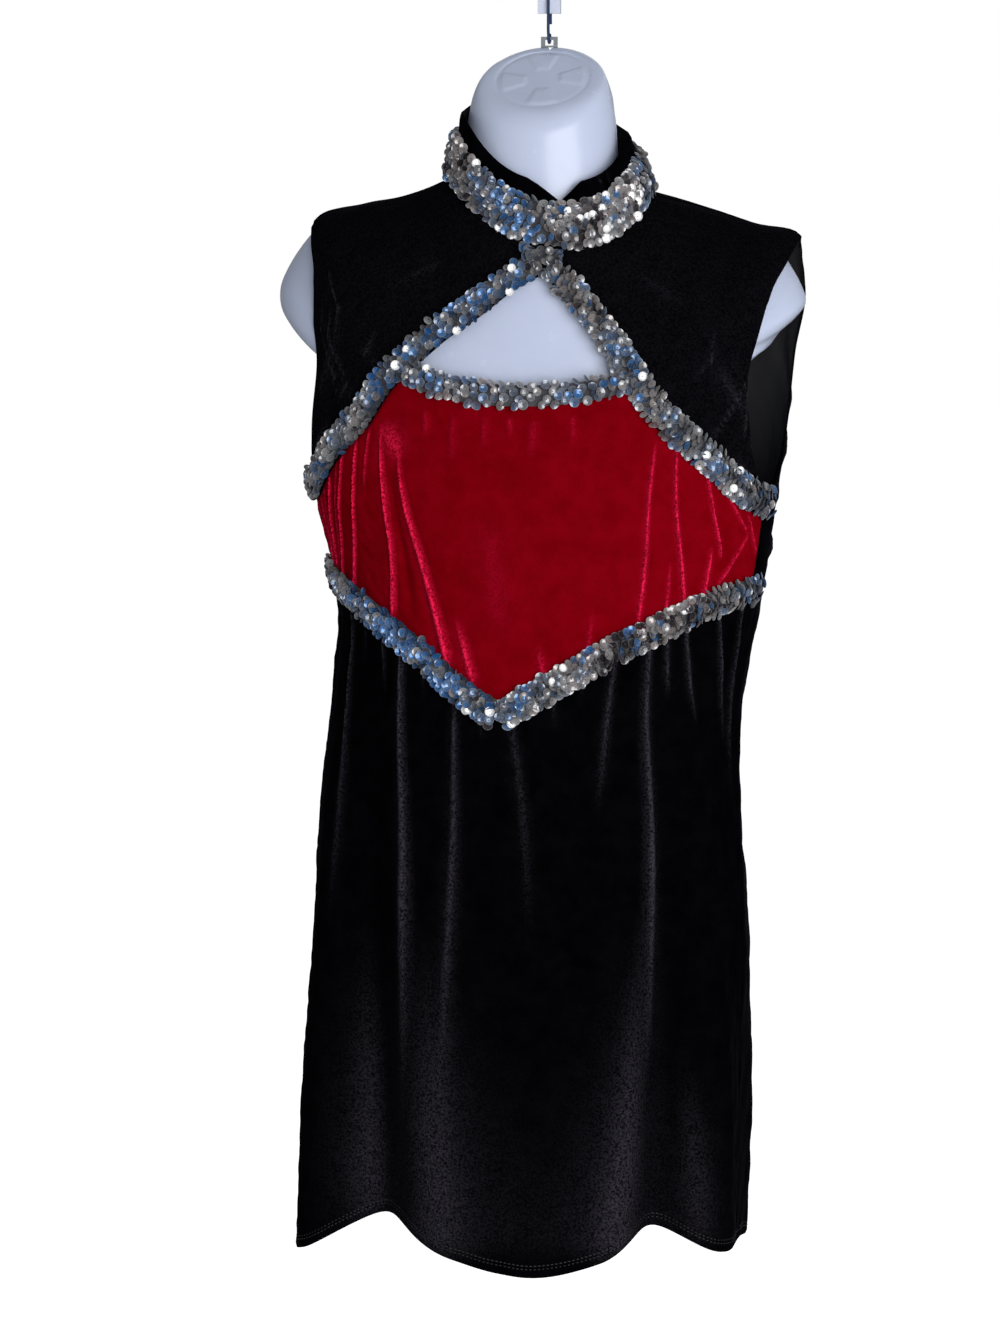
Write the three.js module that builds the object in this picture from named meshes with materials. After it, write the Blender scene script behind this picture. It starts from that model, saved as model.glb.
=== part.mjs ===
// Color guard dress on a hanging torso form: a sleeveless velvet mini dress with a stand collar, a keyhole,
// a V-pointed bust panel, a gathered skirt and sequin trims, on a hollow-back form with its hook.
// Millimetres, +Z up, the front faces -Y, +X is the viewer's right. The origin is the hook's hanging point.
import * as THREE from 'three';

// ---------- driving dimensions ----------
const CLOTH = 1.5; // wall of the velvet
const GAP = 0.3; // between neighbouring pieces
const COLLAR_GAP = 0.5; // between the collar and what it stands on
const TRIM_WALL = 2.4; // sequin band, sequins and backing together
const TRIM_REST = 0.75; // from the cloth to the band's back
const TRIM_WIDTH = 20.5; // diagonal and V bands
const BAR_WIDTH = 19; // band over the bust panel
const SIDE_SEAM = 80; // degrees from the centre front
const SHOULDER_SEAM = 90;
const NECK = -249; // level of the collar seam at the centre front
const STRAP_END = -311; // level where the shoulder ends at the armhole
const ARMHOLE_BOTTOM = -441;
const KEYHOLE_TOP = -268;
const COLLAR_TOP = -197;
const COLLAR_BAND = { bottom: -247.2, top: -212.5 }; // levels of the sequin band round the collar
const NOTCH = { at: 11.5, depth: 14, reach: 17 }; // V in the collar's front, in degrees and mm
const FORM_WALL = 3;

const PAINT = {
  black: { color: 0x08080b, roughness: 0.9, metalness: 0 },
  red: { color: 0x8c0414, roughness: 0.85, metalness: 0 },
  silver: { color: 0xb9bcc2, roughness: 0.3, metalness: 0.8 },
  form: { color: 0xc9d3e6, roughness: 0.15, metalness: 0 },
  white: { color: 0xf2f2f0, roughness: 0.4, metalness: 0 },
  steel: { color: 0x9aa2ad, roughness: 0.3, metalness: 1 },
};

// A table with named columns: a list of rows, each an object with one value for each name.
function table(names, rows) {
  return rows.map((row) => Object.fromEntries(names.split(' ').map((name, i) => [name, row[i]])));
}

// ---------- sections ----------
// Each row is one ring round the body. level: height of its centre front. half: half its width.
// front, side, back: depth y of its centre front, sides and centre back. liftSide, liftBack: how far its
// sides and back stand above its front. shift: its sideways offset. turn: degrees it is turned about the
// body, all of it at the front and none at the centre back. bow: how round its back is, 1 for round and
// less for flat. roll: how far its left side stands up and its right side down. twist: degrees that its
// lowest place lies to the right of its front.
const DRESS_RINGS = table('level half front side back liftSide liftBack shift turn bow roll twist', [
  [ -249,    79,  -60,  2, 62, 48.5, 58,   8.5,  2,  0.9,   5,  12],
  [ -262,   113,  -62, 27, 64,   50, 48,   8.5,  2,  0.8,   4,   7],
  [ -284,   155,  -66, 35, 65,   61, 42,     8,  0,  0.6,   7,   2],
  [ -310,   194,  -72, 32, 65,   76, 42,     8, -1,  0.5,   6,   0],
  [ -336,   205,  -78, 16, 65,   62, 38,     8, -3,  0.5,   3,   0],
  [ -372,   196,  -87, 10, 66,   40, 26,     7, -5, 0.55,   0,   0],
  [ -408,   191,  -95,  4, 67,   18, 10,     5, -6,  0.7,   0,   0],
  [ -445,   184, -100,  0, 68,    0,  0,     5, -6, 0.85,   0,   0],
  [ -485,   176, -103,  0, 68,    0,  0,     8, -6,  0.9,   0,   0],
  [ -540,   167, -105, -2, 68,    0,  0,     8, -6,  0.9,   0,   0],
  [ -600, 164.5, -106, -4, 68,    0,  0,     0, -4,  0.9,   0,   0],
  [ -690,   168, -106, -6, 68,    0,  0,  -7.5,  0,  0.9,   0,   0],
  [ -800,   173, -108, -6, 72,    0,  0,    -7,  0,  0.9,   0,   0],
  [ -930,   177, -112, -6, 76,    0,  0,    -9,  0,  0.9,   0,   0],
  [-1060,   177, -116, -6, 80,    0,  0, -12.5,  0,  0.9,   0,   0],
]);
const COLLAR_RINGS = table('level half front side back liftSide liftBack shift turn bow roll twist', [
  [-222, 71.5, -54, 3, 61, 46, 60, 6.5, 2, 0.9, 6, 12],
  [-197,   66, -47, 4, 60, 45, 62, 3.5, 2, 0.9, 8, 12],
]);
const FORM_RINGS = table('level half front side back liftSide liftBack shift bow roll reach twist', [
  [-165,   56, -39, 11, 57,   27, 50,  0, 0.8,   0, 125,  0],
  [-192,   58, -41, 10, 55,   42, 56,  0,   1,   0, 108,  0],
  [-225,   61, -45,  6, 54,   43, 58,  0,   1,   1, 106,  8],
  [-249,   65, -52,  6, 54,   45, 52,  0,   1,   1, 108, 12],
  [-262,  100, -57, 27, 56,   51, 42,  0,   1, 1.5, 112,  7],
  [-284,  142, -61, 35, 57, 61.5, 36,  0,   1, 4.5, 112,  2],
  [-310,  182, -66, 33, 57,   77, 40, -1,   1,   4, 112,  0],
  [-322,  199, -68, 31, 57,   67, 42, -1,   1,   4, 112,  0],
  [-332,  209, -70, 29, 57,   60, 42, -1,   1,   4, 112,  0],
  [-342,  214, -72, 27, 57,   55, 42, -1,   1,   5, 112,  0],
  [-351,  213, -74, 25, 57,   51, 42, -1,   1,   4, 112,  0],
  [-360,  206, -76, 22, 57,   49, 40, -1,   1,   4, 112,  0],
  [-370,  195, -79, 19, 57,   49, 40, -1,   1,   3, 112,  0],
  [-381,  183, -83, 14, 57,   51, 40,  0,   1,   3, 112,  0],
  [-393,  170, -86, 11, 57,   50, 40,  0,   1,   2, 112,  0],
  [-410,  162, -90,  7, 57,   42, 34,  0,   1,   1, 112,  0],
  [-435,  160, -93,  4, 58,   24, 20,  0,   1,   0, 112,  0],
  [-470,  160, -94,  1, 58,    0,  0,  0,   1,   0, 112,  0],
  [-530,  154, -92,  0, 58,    0,  0,  0,   1,   0, 112,  0],
  [-600,  147, -88,  0, 58,    0,  0,  0,   1,   0, 112,  0],
  [-680,  148, -90,  0, 59,    0,  0,  0,   1,   0, 112,  0],
  [-745,  152, -92,  0, 60,    0,  0,  0,   1,   0, 112,  0],
]);
const ROUND = { dress: 2 / 2.25, form: 1, lift: 1.6 }; // powers of the rings' sine and cosine

COLLAR_RINGS.push({ ...DRESS_RINGS[0], level: NECK + COLLAR_GAP });

// ---------- cutting lines ----------
// Lower edge of the diagonal bands: the seam of yoke and bust panel, and the keyhole's edge above it.
const DIAGONAL = table('angle level', [
  [   0, KEYHOLE_TOP],
  [   5,        -282],
  [10.5,        -306],
  [15.3,        -326],
  [18.5,        -341],
  [  24,        -360],
  [  30,        -379],
  [  36,        -394],
  [  44,        -409],
  [  53,        -424],
  [  63,        -438],
  [  72,        -446],
  [  80,        -450],
  [  88,        -452],
]);
const DIAGONAL_ROLL = -0.05; // the seam lies this much lower for each degree to the right
// Seam of bust panel and skirt.
const VEE = table('angle level', [
  [ 0, -608],
  [ 7, -592],
  [15, -576],
  [25, -556],
  [35, -542],
  [50, -524],
  [65, -513],
  [80, -508],
  [88, -507],
]);
const VEE_ROLL = -0.05;
const BAR = { level: -361, rise: 6, reach: 20 }; // middle of the bar; it rises to its ends
// Edges of the armhole, in degrees from the centre front, and from the centre back line for the back.
const ARMHOLE = table('level front back', [
  [     STRAP_END,        90,        90],
  [          -313,        80,        99],
  [          -318,        69,       105],
  [          -330,      60.5,       108],
  [          -348,      58.5,       108],
  [          -372,        60,       106],
  [          -395,        64,       102],
  [          -415,      68.5,        96],
  [          -430,      73.5,        89],
  [          -438,        77,        84],
  [ARMHOLE_BOTTOM, SIDE_SEAM, SIDE_SEAM],
]);
// Hem level round the skirt.
const HEM = table('angle level', [
  [-180, -1046],
  [-140, -1030],
  [-110, -1052],
  [ -90, -1058],
  [ -62, -1050],
  [ -34, -1014],
  [ -10, -1037],
  [   6, -1049],
  [  24, -1038],
  [  39, -1016],
  [  62, -1036],
  [  90, -1041],
  [ 112, -1046],
  [ 142, -1026],
  [ 180, -1046],
]);

// ---------- folds ----------
// angle and level of a fold's top and bottom end, its half width in degrees at each, and how far it
// stands out (or in, below zero) at its bottom. It grows from nothing at its top end.
const FOLDS = table('top from foot to narrow wide out', [
  [ -58, -530,  -64, -1070, 7, 17,  13],
  [ -42, -560,  -35, -1070, 7, 13, -24],
  [ -29, -560,  -24,  -900, 5,  9,   6],
  [ -13, -600,  -12, -1070, 5, 12,   9],
  [   2, -620,    5, -1070, 5, 12,   8],
  [  25, -570,   18,  -900, 5,  8,   4],
  [  34, -560,   29, -1070, 5,  9,   7],
  [  45, -545,   41, -1070, 6, 11, -20],
  [  57, -530,   64, -1070, 6, 14,  12],
  [  86, -530,   84,  -800, 6,  9,   5],
  [ 105, -600,  112, -1070, 8, 15,  12],
  [ 135, -600,  140, -1070, 8, 13, -20],
  [ 176, -640,  172, -1070, 9, 18,  10],
  [-105, -600, -110, -1070, 8, 15,  12],
  [-138, -600, -142, -1070, 8, 13, -18],
]);

// ---------- curves and surfaces ----------
// A smooth function through the rows of a table, from one named column to another.
function through(rows, key, value) {
  const order = [...rows].sort((a, b) => a[key] - b[key]);
  const xs = order.map((row) => row[key]);
  const ys = order.map((row) => row[value]);
  const last = xs.length - 1;
  const rise = xs.slice(1).map((x, i) => (ys[i + 1] - ys[i]) / (x - xs[i]));
  const slope = xs.map((x, i) => {
    if (i === 0 || i === last) return rise[Math.min(i, last - 1)];
    const before = xs[i] - xs[i - 1];
    const after = xs[i + 1] - xs[i];
    return (rise[i - 1] * after + rise[i] * before) / (before + after);
  });
  return (at) => {
    let i = 0;
    while (i < last - 1 && at > xs[i + 1]) i += 1;
    const span = xs[i + 1] - xs[i];
    const t = THREE.MathUtils.clamp((at - xs[i]) / span, -0.3, 1.3);
    const t2 = t * t;
    const t3 = t2 * t;
    return (2 * t3 - 3 * t2 + 1) * ys[i] + (t3 - 2 * t2 + t) * span * slope[i]
      + (3 * t2 - 2 * t3) * ys[i + 1] + (t3 - t2) * span * slope[i + 1];
  };
}

const radians = THREE.MathUtils.degToRad;
const power = (value, exponent) => Math.sign(value) * Math.abs(value) ** exponent;

// The surface through a table of rings, as a function of angle from the centre front and level.
function ringSurface(rings, roundness) {
  const names = 'half front side back liftSide liftBack shift turn bow roll twist'.split(' ');
  const at = {};
  for (const name of names) {
    at[name] = name in rings[0] ? through(rings, 'level', name) : () => (name === 'bow' ? roundness : 0);
  }
  return (angle, level) => {
    const toBack = THREE.MathUtils.smoothstep(Math.abs(angle), 100, 180);
    const turned = radians(angle + at.turn(level) * (1 - toBack));
    const across = Math.sin(turned);
    const along = Math.cos(turned);
    const bow = along < 0 ? at.bow(level) : roundness;
    const side = at.side(level);
    const reach = along < 0 ? at.back(level) - side : side - at.front(level);
    const ahead = Math.cos(turned - radians(at.twist(level)));
    const centred = Math.abs(ahead) ** ROUND.lift;
    const lift = at.liftSide(level) * (1 - centred) + (ahead < 0 ? at.liftBack(level) * centred : 0)
      - at.roll(level) * across;
    return new THREE.Vector3(
      at.shift(level) + at.half(level) * power(across, roundness),
      side - reach * power(along, bow),
      level + lift,
    );
  };
}

const smooth = (value) => THREE.MathUtils.smoothstep(value, 0, 1);

function foldHeight(angle, level) {
  let height = 0;
  for (const fold of FOLDS) {
    const t = (fold.from - level) / (fold.from - fold.to);
    if (t <= 0) continue;
    const middle = fold.top + (fold.foot - fold.top) * t;
    const width = fold.narrow + (fold.wide - fold.narrow) * t;
    const away = (((angle - middle + 540) % 360) - 180) / width;
    const fade = t > 1 ? smooth(1 - (t - 1) * 3) : 1;
    height += fold.out * smooth(t * 1.3) * fade * Math.exp(-away * away);
  }
  return height;
}

const dressForm = ringSurface(DRESS_RINGS, ROUND.dress);
const collarForm = ringSurface(COLLAR_RINGS, ROUND.dress);
const torsoForm = ringSurface(FORM_RINGS, ROUND.form);

function normalOf(surface, angle, level) {
  const step = { angle: 0.4, level: 1 };
  const overAngle = surface(angle + step.angle, level).sub(surface(angle - step.angle, level));
  const overLevel = surface(angle, level + step.level).sub(surface(angle, level - step.level));
  return overAngle.cross(overLevel).normalize();
}

// A point of a surface moved out along its normal.
function moved(surface, angle, level, out) {
  return surface(angle, level).addScaledVector(normalOf(surface, angle, level), out);
}

function dressSurface(angle, level) {
  const height = level < VEE[VEE.length - 1].level ? foldHeight(angle, level) : 0;
  return moved(dressForm, angle, level, height);
}

const diagonalAt = through(DIAGONAL, 'angle', 'level');
const diagonalLevel = (angle) => diagonalAt(Math.abs(angle)) + DIAGONAL_ROLL * angle;
const veeAt = through(VEE, 'angle', 'level');
const veeLevel = (angle) => veeAt(Math.abs(angle)) + VEE_ROLL * angle;
const hemLevel = through(HEM, 'angle', 'level');
const armholeFront = through(ARMHOLE, 'level', 'front');
const armholeBack = through(ARMHOLE, 'level', 'back');

// The angle where the diagonal crosses a level, on one side of the body.
function diagonalAngle(level, sign) {
  let low = 0;
  let high = DIAGONAL[DIAGONAL.length - 1].angle;
  for (let i = 0; i < 40; i += 1) {
    const middle = (low + high) / 2;
    if (diagonalLevel(sign * middle) > level) low = middle;
    else high = middle;
  }
  return (sign * (low + high)) / 2;
}

// ---------- solids ----------
// A closed wall between two grids of points, rows by columns, joined along their four edges.
function wallBetween(outer, inner) {
  const rows = outer.length;
  const columns = outer[0].length;
  const points = [...outer.flat(), ...inner.flat()];
  const outerAt = (row, column) => row * columns + column;
  const innerAt = (row, column) => rows * columns + row * columns + column;
  const faces = [];
  const quad = (a, b, c, d) => faces.push(a, b, c, a, c, d);
  for (let row = 0; row + 1 < rows; row += 1) {
    for (let column = 0; column + 1 < columns; column += 1) {
      const [below, beside] = [row + 1, column + 1];
      quad(outerAt(row, column), outerAt(below, column), outerAt(below, beside), outerAt(row, beside));
      quad(innerAt(row, column), innerAt(row, beside), innerAt(below, beside), innerAt(below, column));
    }
    quad(outerAt(row, 0), innerAt(row, 0), innerAt(row + 1, 0), outerAt(row + 1, 0));
    const end = columns - 1;
    quad(outerAt(row, end), outerAt(row + 1, end), innerAt(row + 1, end), innerAt(row, end));
  }
  for (let column = 0; column + 1 < columns; column += 1) {
    quad(outerAt(0, column), outerAt(0, column + 1), innerAt(0, column + 1), innerAt(0, column));
    const end = rows - 1;
    quad(outerAt(end, column), innerAt(end, column), innerAt(end, column + 1), outerAt(end, column + 1));
  }
  return solidOf(points, faces);
}

// A geometry from points and faces, turned so that its faces point out.
function solidOf(points, faces) {
  let volume = 0;
  const cross = new THREE.Vector3();
  for (let i = 0; i < faces.length; i += 3) {
    const [a, b, c] = [points[faces[i]], points[faces[i + 1]], points[faces[i + 2]]];
    volume += a.dot(cross.crossVectors(b, c));
  }
  const turned = volume < 0 ? [...faces].reverse() : faces;
  const geometry = new THREE.BufferGeometry();
  geometry.setAttribute('position', new THREE.Float32BufferAttribute(points.flatMap((p) => p.toArray()), 3));
  geometry.setIndex(turned);
  return geometry;
}

// Evenly spaced values, count steps from one to another.
function spread(from, to, count) {
  return Array.from({ length: count + 1 }, (_, i) => from + ((to - from) * i) / count);
}

// A cloth wall from a grid of {angle, level} places on a surface.
function clothWall(surface, places, wall = CLOTH, rest = 0) {
  const lay = (out) => places.map((row) => row.map((p) => moved(surface, p.angle, p.level, out)));
  return wallBetween(lay(rest + (rest > 0 ? wall : 0)), lay(rest > 0 ? rest : -wall));
}

// ---------- panels ----------
const SLIT = 0.09; // degrees that a panel stops short of a seam, about half of GAP on the body
const CORNER = 20; // degrees from the centre front where keyhole, bar and diagonal meet
// Degrees at which the diagonal seam is stitched, shared by yoke and bust panel.
const STITCHES = [21, 24, 27, 30, 33, 36, 40, 44, 48.5, 53, 58, 63, 67.5, 72, 76, 78.6];
const FRONT_COLUMNS = [0, 4, 8, 12, 16, CORNER, ...STITCHES, SIDE_SEAM - SLIT];

// Rows of the skirt's front, as shares of the way down to the hem, close together under the V seam.
const SKIRT_ROWS = [0, 0.02, 0.045, 0.08, 0.13, 0.2, 0.28, 0.36, 0.44, 0.53, 0.62, 0.71, 0.8, 0.9, 1];

// Levels shared by yoke and back along the shoulder seam.
const SHOULDER_LEVELS = [NECK, -255, -261, KEYHOLE_TOP - 1, -276, -284, -294, -303, STRAP_END];

const barLevel = (angle) => BAR.level + BAR.rise * (angle / BAR.reach) ** 2;

function yoke(sign) {
  const upper = [...SHOULDER_LEVELS, -313, -317, -324, -334];
  const rows = upper.map((level) => ({
    level,
    seam: level > diagonalLevel(0) ? 0 : Math.abs(diagonalAngle(level, sign)),
  }));
  for (const seam of STITCHES) rows.push({ level: diagonalLevel(sign * seam), seam });
  const places = rows.map(({ level, seam }) => {
    let edge = SHOULDER_SEAM;
    if (level < STRAP_END) edge = armholeFront(level);
    if (level < ARMHOLE_BOTTOM) edge = SIDE_SEAM;
    return spread(seam + SLIT, edge - SLIT, 10).map((angle) => ({ angle: sign * angle, level }));
  });
  return clothWall(dressSurface, places);
}

// Columns run from the left side seam to the right one. shares: how far down each row lies, 0 to 1.
function frontPanel(topLevel, bottomLevel, shares) {
  const angles = [...FRONT_COLUMNS.slice(1).reverse().map((angle) => -angle), ...FRONT_COLUMNS];
  const places = shares.map((down) => angles.map((angle) => {
    const top = topLevel(angle) - GAP / 2;
    const bottom = bottomLevel(angle) + GAP / 2;
    return { angle, level: top + (bottom - top) * down };
  }));
  return clothWall(dressSurface, places);
}

function bustTop(angle) {
  const keyhole = barLevel(angle) + BAR_WIDTH / 2 - 1;
  return Math.abs(angle) <= CORNER ? Math.min(keyhole, diagonalLevel(angle)) : diagonalLevel(angle);
}

function back(sign) {
  const above = [...SHOULDER_LEVELS, -313, -318, -330, -348, -372, -395, -415, -430, -438];
  const below = [0, 0.03, 0.07, 0.12, 0.18, 0.25, 0.32, 0.4, 0.48, 0.56, 0.64, 0.73, 0.82, 0.91, 1];
  const columns = (edge, levelAt) => spread(edge + SLIT, 180 - SLIT, 12).map((angle) => (
    { angle: sign * angle, level: levelAt(sign * angle) }));
  const places = above.map((level) => {
    const edge = level >= STRAP_END ? SHOULDER_SEAM : armholeBack(level);
    return columns(edge, () => level);
  });
  for (const down of below) {
    places.push(columns(SIDE_SEAM, (angle) => ARMHOLE_BOTTOM + (hemLevel(angle) - ARMHOLE_BOTTOM) * down));
  }
  return clothWall(dressSurface, places);
}

const HALF_COLLAR = [...spread(0, 18, 4), ...spread(27, 171, 16), 180 - SLIT];
// They stand closer together round the notch.
const COLLAR_COLUMNS = [...HALF_COLLAR.slice(1).reverse().map((angle) => -angle), ...HALF_COLLAR].map(
  (angle) => angle + NOTCH.at * (1 + Math.cos(radians(angle))) / 2);

function collar() {
  const bottom = NECK + COLLAR_GAP;
  const cut = (angle) => Math.max(0, 1 - Math.abs(angle - NOTCH.at) / NOTCH.reach);
  const topAt = (angle) => COLLAR_TOP - NOTCH.depth * cut(angle);
  const places = spread(0, 1, 3).map((up) => COLLAR_COLUMNS.map((angle) => (
    { angle, level: bottom + (topAt(angle) - bottom) * up })));
  return clothWall(collarForm, places);
}

// ---------- sequin bands ----------
// A place moved square to the way towards another place, by a distance along the surface.
function aside(surface, place, ahead, distance) {
  const here = surface(place.angle, place.level);
  const perAngle = surface(place.angle + 1, place.level).sub(here);
  const perLevel = surface(place.angle, place.level + 1).sub(here);
  const normal = perAngle.clone().cross(perLevel).normalize();
  const along = surface(ahead.angle, ahead.level).sub(here).normalize();
  const across = normal.cross(along).multiplyScalar(distance);
  const [aa, al, ll] = [perAngle.dot(perAngle), perAngle.dot(perLevel), perLevel.dot(perLevel)];
  const [a, l] = [across.dot(perAngle), across.dot(perLevel)];
  const whole = aa * ll - al * al;
  return { angle: place.angle + (a * ll - l * al) / whole, level: place.level + (l * aa - a * al) / whole };
}

// Rows of places square to a seam. distances: how far each column lies above the seam.
function bandRows(seamLevel, angles, sign, distances) {
  return angles.map((angle) => {
    const place = { angle: sign * angle, level: seamLevel(sign * angle) };
    const ahead = { angle: sign * (angle + 0.5), level: seamLevel(sign * (angle + 0.5)) };
    return distances.map((distance) => {
      const moved = aside(dressSurface, place, ahead, sign * distance);
      return { angle: sign * Math.max(sign * moved.angle, 2 * SLIT), level: moved.level };
    });
  });
}

const band = (places) => clothWall(dressSurface, places, TRIM_WALL, TRIM_REST);
const BAND_END = SIDE_SEAM + 3; // the bands reach a little past the side seams
const UNDER_COLLAR = { level: NECK - 1.8, angle: 8 }; // where the diagonals start

function diagonalBand(sign) {
  const across = [0, 0.5, 1];
  const start = across.map((t) => (
    { angle: sign * (2 * SLIT + (UNDER_COLLAR.angle - 2 * SLIT) * t), level: UNDER_COLLAR.level }));
  const angles = [0, 2.5, 5, 8, 11, 14, 17, ...STITCHES.slice(0, -1), SIDE_SEAM, BAND_END];
  return band([start, ...bandRows(diagonalLevel, angles, sign, across.map((t) => TRIM_WIDTH * t))]);
}

function veeBand(sign) {
  const tip = TRIM_WIDTH * 0.62; // half the height of the mitre at the point
  const start = [-1, 0, 1].map((t) => ({ angle: sign * 2 * SLIT, level: veeLevel(0) + tip * t }));
  const angles = [5.5, ...FRONT_COLUMNS.slice(2, -2), SIDE_SEAM - 1.4, BAND_END];
  return band([start, ...bandRows(veeLevel, angles, sign, [-1, 0, 1].map((t) => (TRIM_WIDTH / 2) * t))]);
}

function barBand() {
  const places = [-1, 0, 1].map((t) => {
    const end = (sign) => {
      let angle = CORNER;
      for (let i = 0; i < 12; i += 1) {
        angle = Math.abs(diagonalAngle(barLevel(angle) + (BAR_WIDTH / 2) * t, sign));
      }
      return sign * (angle - 4 * SLIT);
    };
    const levelAt = (angle) => barLevel(angle) + (BAR_WIDTH / 2) * t;
    return spread(end(-1), end(1), 14).map((angle) => ({ angle, level: levelAt(angle) }));
  });
  return band(places);
}

function collarBand() {
  const levels = spread(COLLAR_BAND.bottom, COLLAR_BAND.top, 2);
  const places = levels.map((level) => COLLAR_COLUMNS.map((angle) => ({ angle, level })));
  return clothWall(collarForm, places, TRIM_WALL, TRIM_REST);
}

// ---------- torso form ----------
// The form's closed top: a tilted oval that a round rim joins to the neck. x, y, z: its middle. across,
// deep: half its width and depth. tilt: degrees that its back stands up. leave, land: how far the rim keeps
// to the neck's way and to the oval's, for its length. closed: degrees to the edges that almost meet at the
// back. anchor: the share of its depth where its rows close. rim, rings: how far on each row lies.
const CAP = {
  x: 1, y: 8, z: -118.8, across: 38, deep: 40, tilt: 34, leave: 1, land: 1.2, closed: 179.6, anchor: 0.85,
  rim: [0.2, 0.4, 0.6, 0.8, 1], rings: [0.35, 0.7, 0.95],
};

function gridNormals(grid) {
  const at = (row, column) => grid[THREE.MathUtils.clamp(row, 0, grid.length - 1)][
    THREE.MathUtils.clamp(column, 0, grid[0].length - 1)];
  return grid.map((points, row) => points.map((_, column) => {
    const along = at(row, column + 1).clone().sub(at(row, column - 1));
    const down = at(row + 1, column).clone().sub(at(row - 1, column));
    return along.cross(down).normalize();
  }));
}

// Rows of the form's top, from the neck's highest row on. below: the places just under that row.
function capRows(sides, neck, below) {
  const tilt = radians(CAP.tilt);
  const onCap = (across, deep) => new THREE.Vector3(CAP.x + CAP.across * across,
    CAP.y + CAP.deep * deep * Math.cos(tilt), CAP.z + CAP.deep * deep * Math.sin(tilt));
  const middle = onCap(0, 0);
  const anchor = onCap(0, CAP.anchor);
  const turns = sides.map((side) => radians(side * CAP.closed));
  const edge = turns.map((turn) => onCap(Math.sin(turn), -Math.cos(turn)));
  const bends = edge.map((end, i) => {
    const third = end.distanceTo(neck[i]) / 3;
    const leaving = neck[i].clone().sub(below[i]).setLength(third * CAP.leave).add(neck[i]);
    const landing = middle.clone().sub(end).setLength(-third * CAP.land).add(end);
    return new THREE.CubicBezierCurve3(neck[i], leaving, landing, end);
  });
  const rim = CAP.rim.map((share) => bends.map((bend) => bend.getPoint(share)));
  const oval = CAP.rings.map((share) => edge.map((end) => end.clone().lerp(anchor, share)));
  return [...rim, ...oval];
}

function torso() {
  const sides = spread(-1, 1, 26);
  const outer = FORM_RINGS.map(({ level, reach }) => sides.map((side) => torsoForm(side * reach, level)));
  const { level, reach } = FORM_RINGS[0];
  const below = sides.map((side) => torsoForm(side * reach, level - 2));
  for (const row of capRows(sides, outer[0], below)) outer.unshift(row);
  const normals = gridNormals(outer);
  const inner = outer.map((points, row) => points.map((point, column) => (
    point.clone().addScaledVector(normals[row][column], FORM_WALL))));
  return wallBetween(outer, inner);
}

// ---------- hook ----------
const HOOK = {
  depth: 47, // y of the hook over the torso's middle
  tab: { width: 18, top: 6, bottom: -67, wall: 6, corner: 3 },
  hole: { radius: 4, height: -4 },
  window: { width: 9, top: -36, bottom: -53 },
  fitting: { width: 13, height: 8.4, wall: 3, top: -85, bar: 2.5, ear: 3, base: 1.5 },
  wire: 1.2, // radius
};

function plateWithHoles(halfWidth, top, bottom, wall, holes) {
  const outline = new THREE.Shape();
  outline.moveTo(-halfWidth, bottom);
  outline.lineTo(halfWidth, bottom);
  outline.lineTo(halfWidth, top);
  outline.lineTo(-halfWidth, top);
  outline.closePath();
  outline.holes.push(...holes);
  const plate = new THREE.ExtrudeGeometry(outline, { depth: wall, bevelEnabled: false, curveSegments: 10 });
  plate.rotateX(Math.PI / 2);
  plate.translate(0, wall / 2, 0);
  return plate;
}

function rectangleHole(halfWidth, top, bottom) {
  const hole = new THREE.Path();
  hole.moveTo(-halfWidth, bottom);
  hole.lineTo(-halfWidth, top);
  hole.lineTo(halfWidth, top);
  hole.lineTo(halfWidth, bottom);
  hole.closePath();
  return hole;
}

function hookTab() {
  const { tab, hole, window: slot } = HOOK;
  const nail = new THREE.Path();
  nail.absarc(0, hole.height, hole.radius, 0, Math.PI * 2, true);
  return plateWithHoles(tab.width / 2, tab.top, tab.bottom, tab.wall,
    [nail, rectangleHole(slot.width / 2, slot.top, slot.bottom)]);
}

function neckFitting() {
  const { width, height, wall, top, bar, ear, base } = HOOK.fitting;
  const slot = rectangleHole(width / 2 - ear, top - bar, top - height + base);
  return plateWithHoles(width / 2, top, top - height, wall, [slot]);
}

// The wire goes round the fitting's bar, up before the tab, back through its window and down behind it.
function hookWire() {
  const { fitting, tab, window: slot, wire } = HOOK;
  const eye = 3.6;
  const barHeight = fitting.top - fitting.bar / 2;
  const front = -(tab.wall / 2 + wire + GAP + 1);
  const over = slot.bottom + wire + GAP;
  const points = [];
  for (const degrees of spread(60, -190, 12)) {
    const turn = radians(degrees);
    points.push([eye * Math.cos(turn), barHeight + eye * Math.sin(turn)]);
  }
  points.push([front, barHeight + 6], [front, barHeight + 14], [front, over - 7]);
  points.push([front * 0.85, over - 1.5]);
  points.push([front * 0.4, over + 1.4], [0, over + 2], [-front * 0.4, over + 1.4]);
  points.push([-front * 0.85, over - 1.5], [-front, over - 7]);
  points.push([-front, tab.bottom - 4], [-front * 1.1, tab.bottom - 8]);
  const way = points.map(([y, z]) => new THREE.Vector3(0, y, z));
  const path = new THREE.CatmullRomCurve3(way, false, 'centripetal');
  const section = new THREE.Shape();
  section.absarc(0, 0, wire, 0, Math.PI * 2);
  return new THREE.ExtrudeGeometry(section, { steps: 40, curveSegments: 3, extrudePath: path });
}

// ---------- the part ----------
const part = new THREE.Group();
const body = new THREE.Group();
body.position.y = -HOOK.depth;
part.add(body);

function add(name, geometry, paint, parent = body) {
  const mesh = new THREE.Mesh(geometry, new THREE.MeshStandardMaterial(PAINT[paint]));
  mesh.name = name;
  parent.add(mesh);
}

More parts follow.
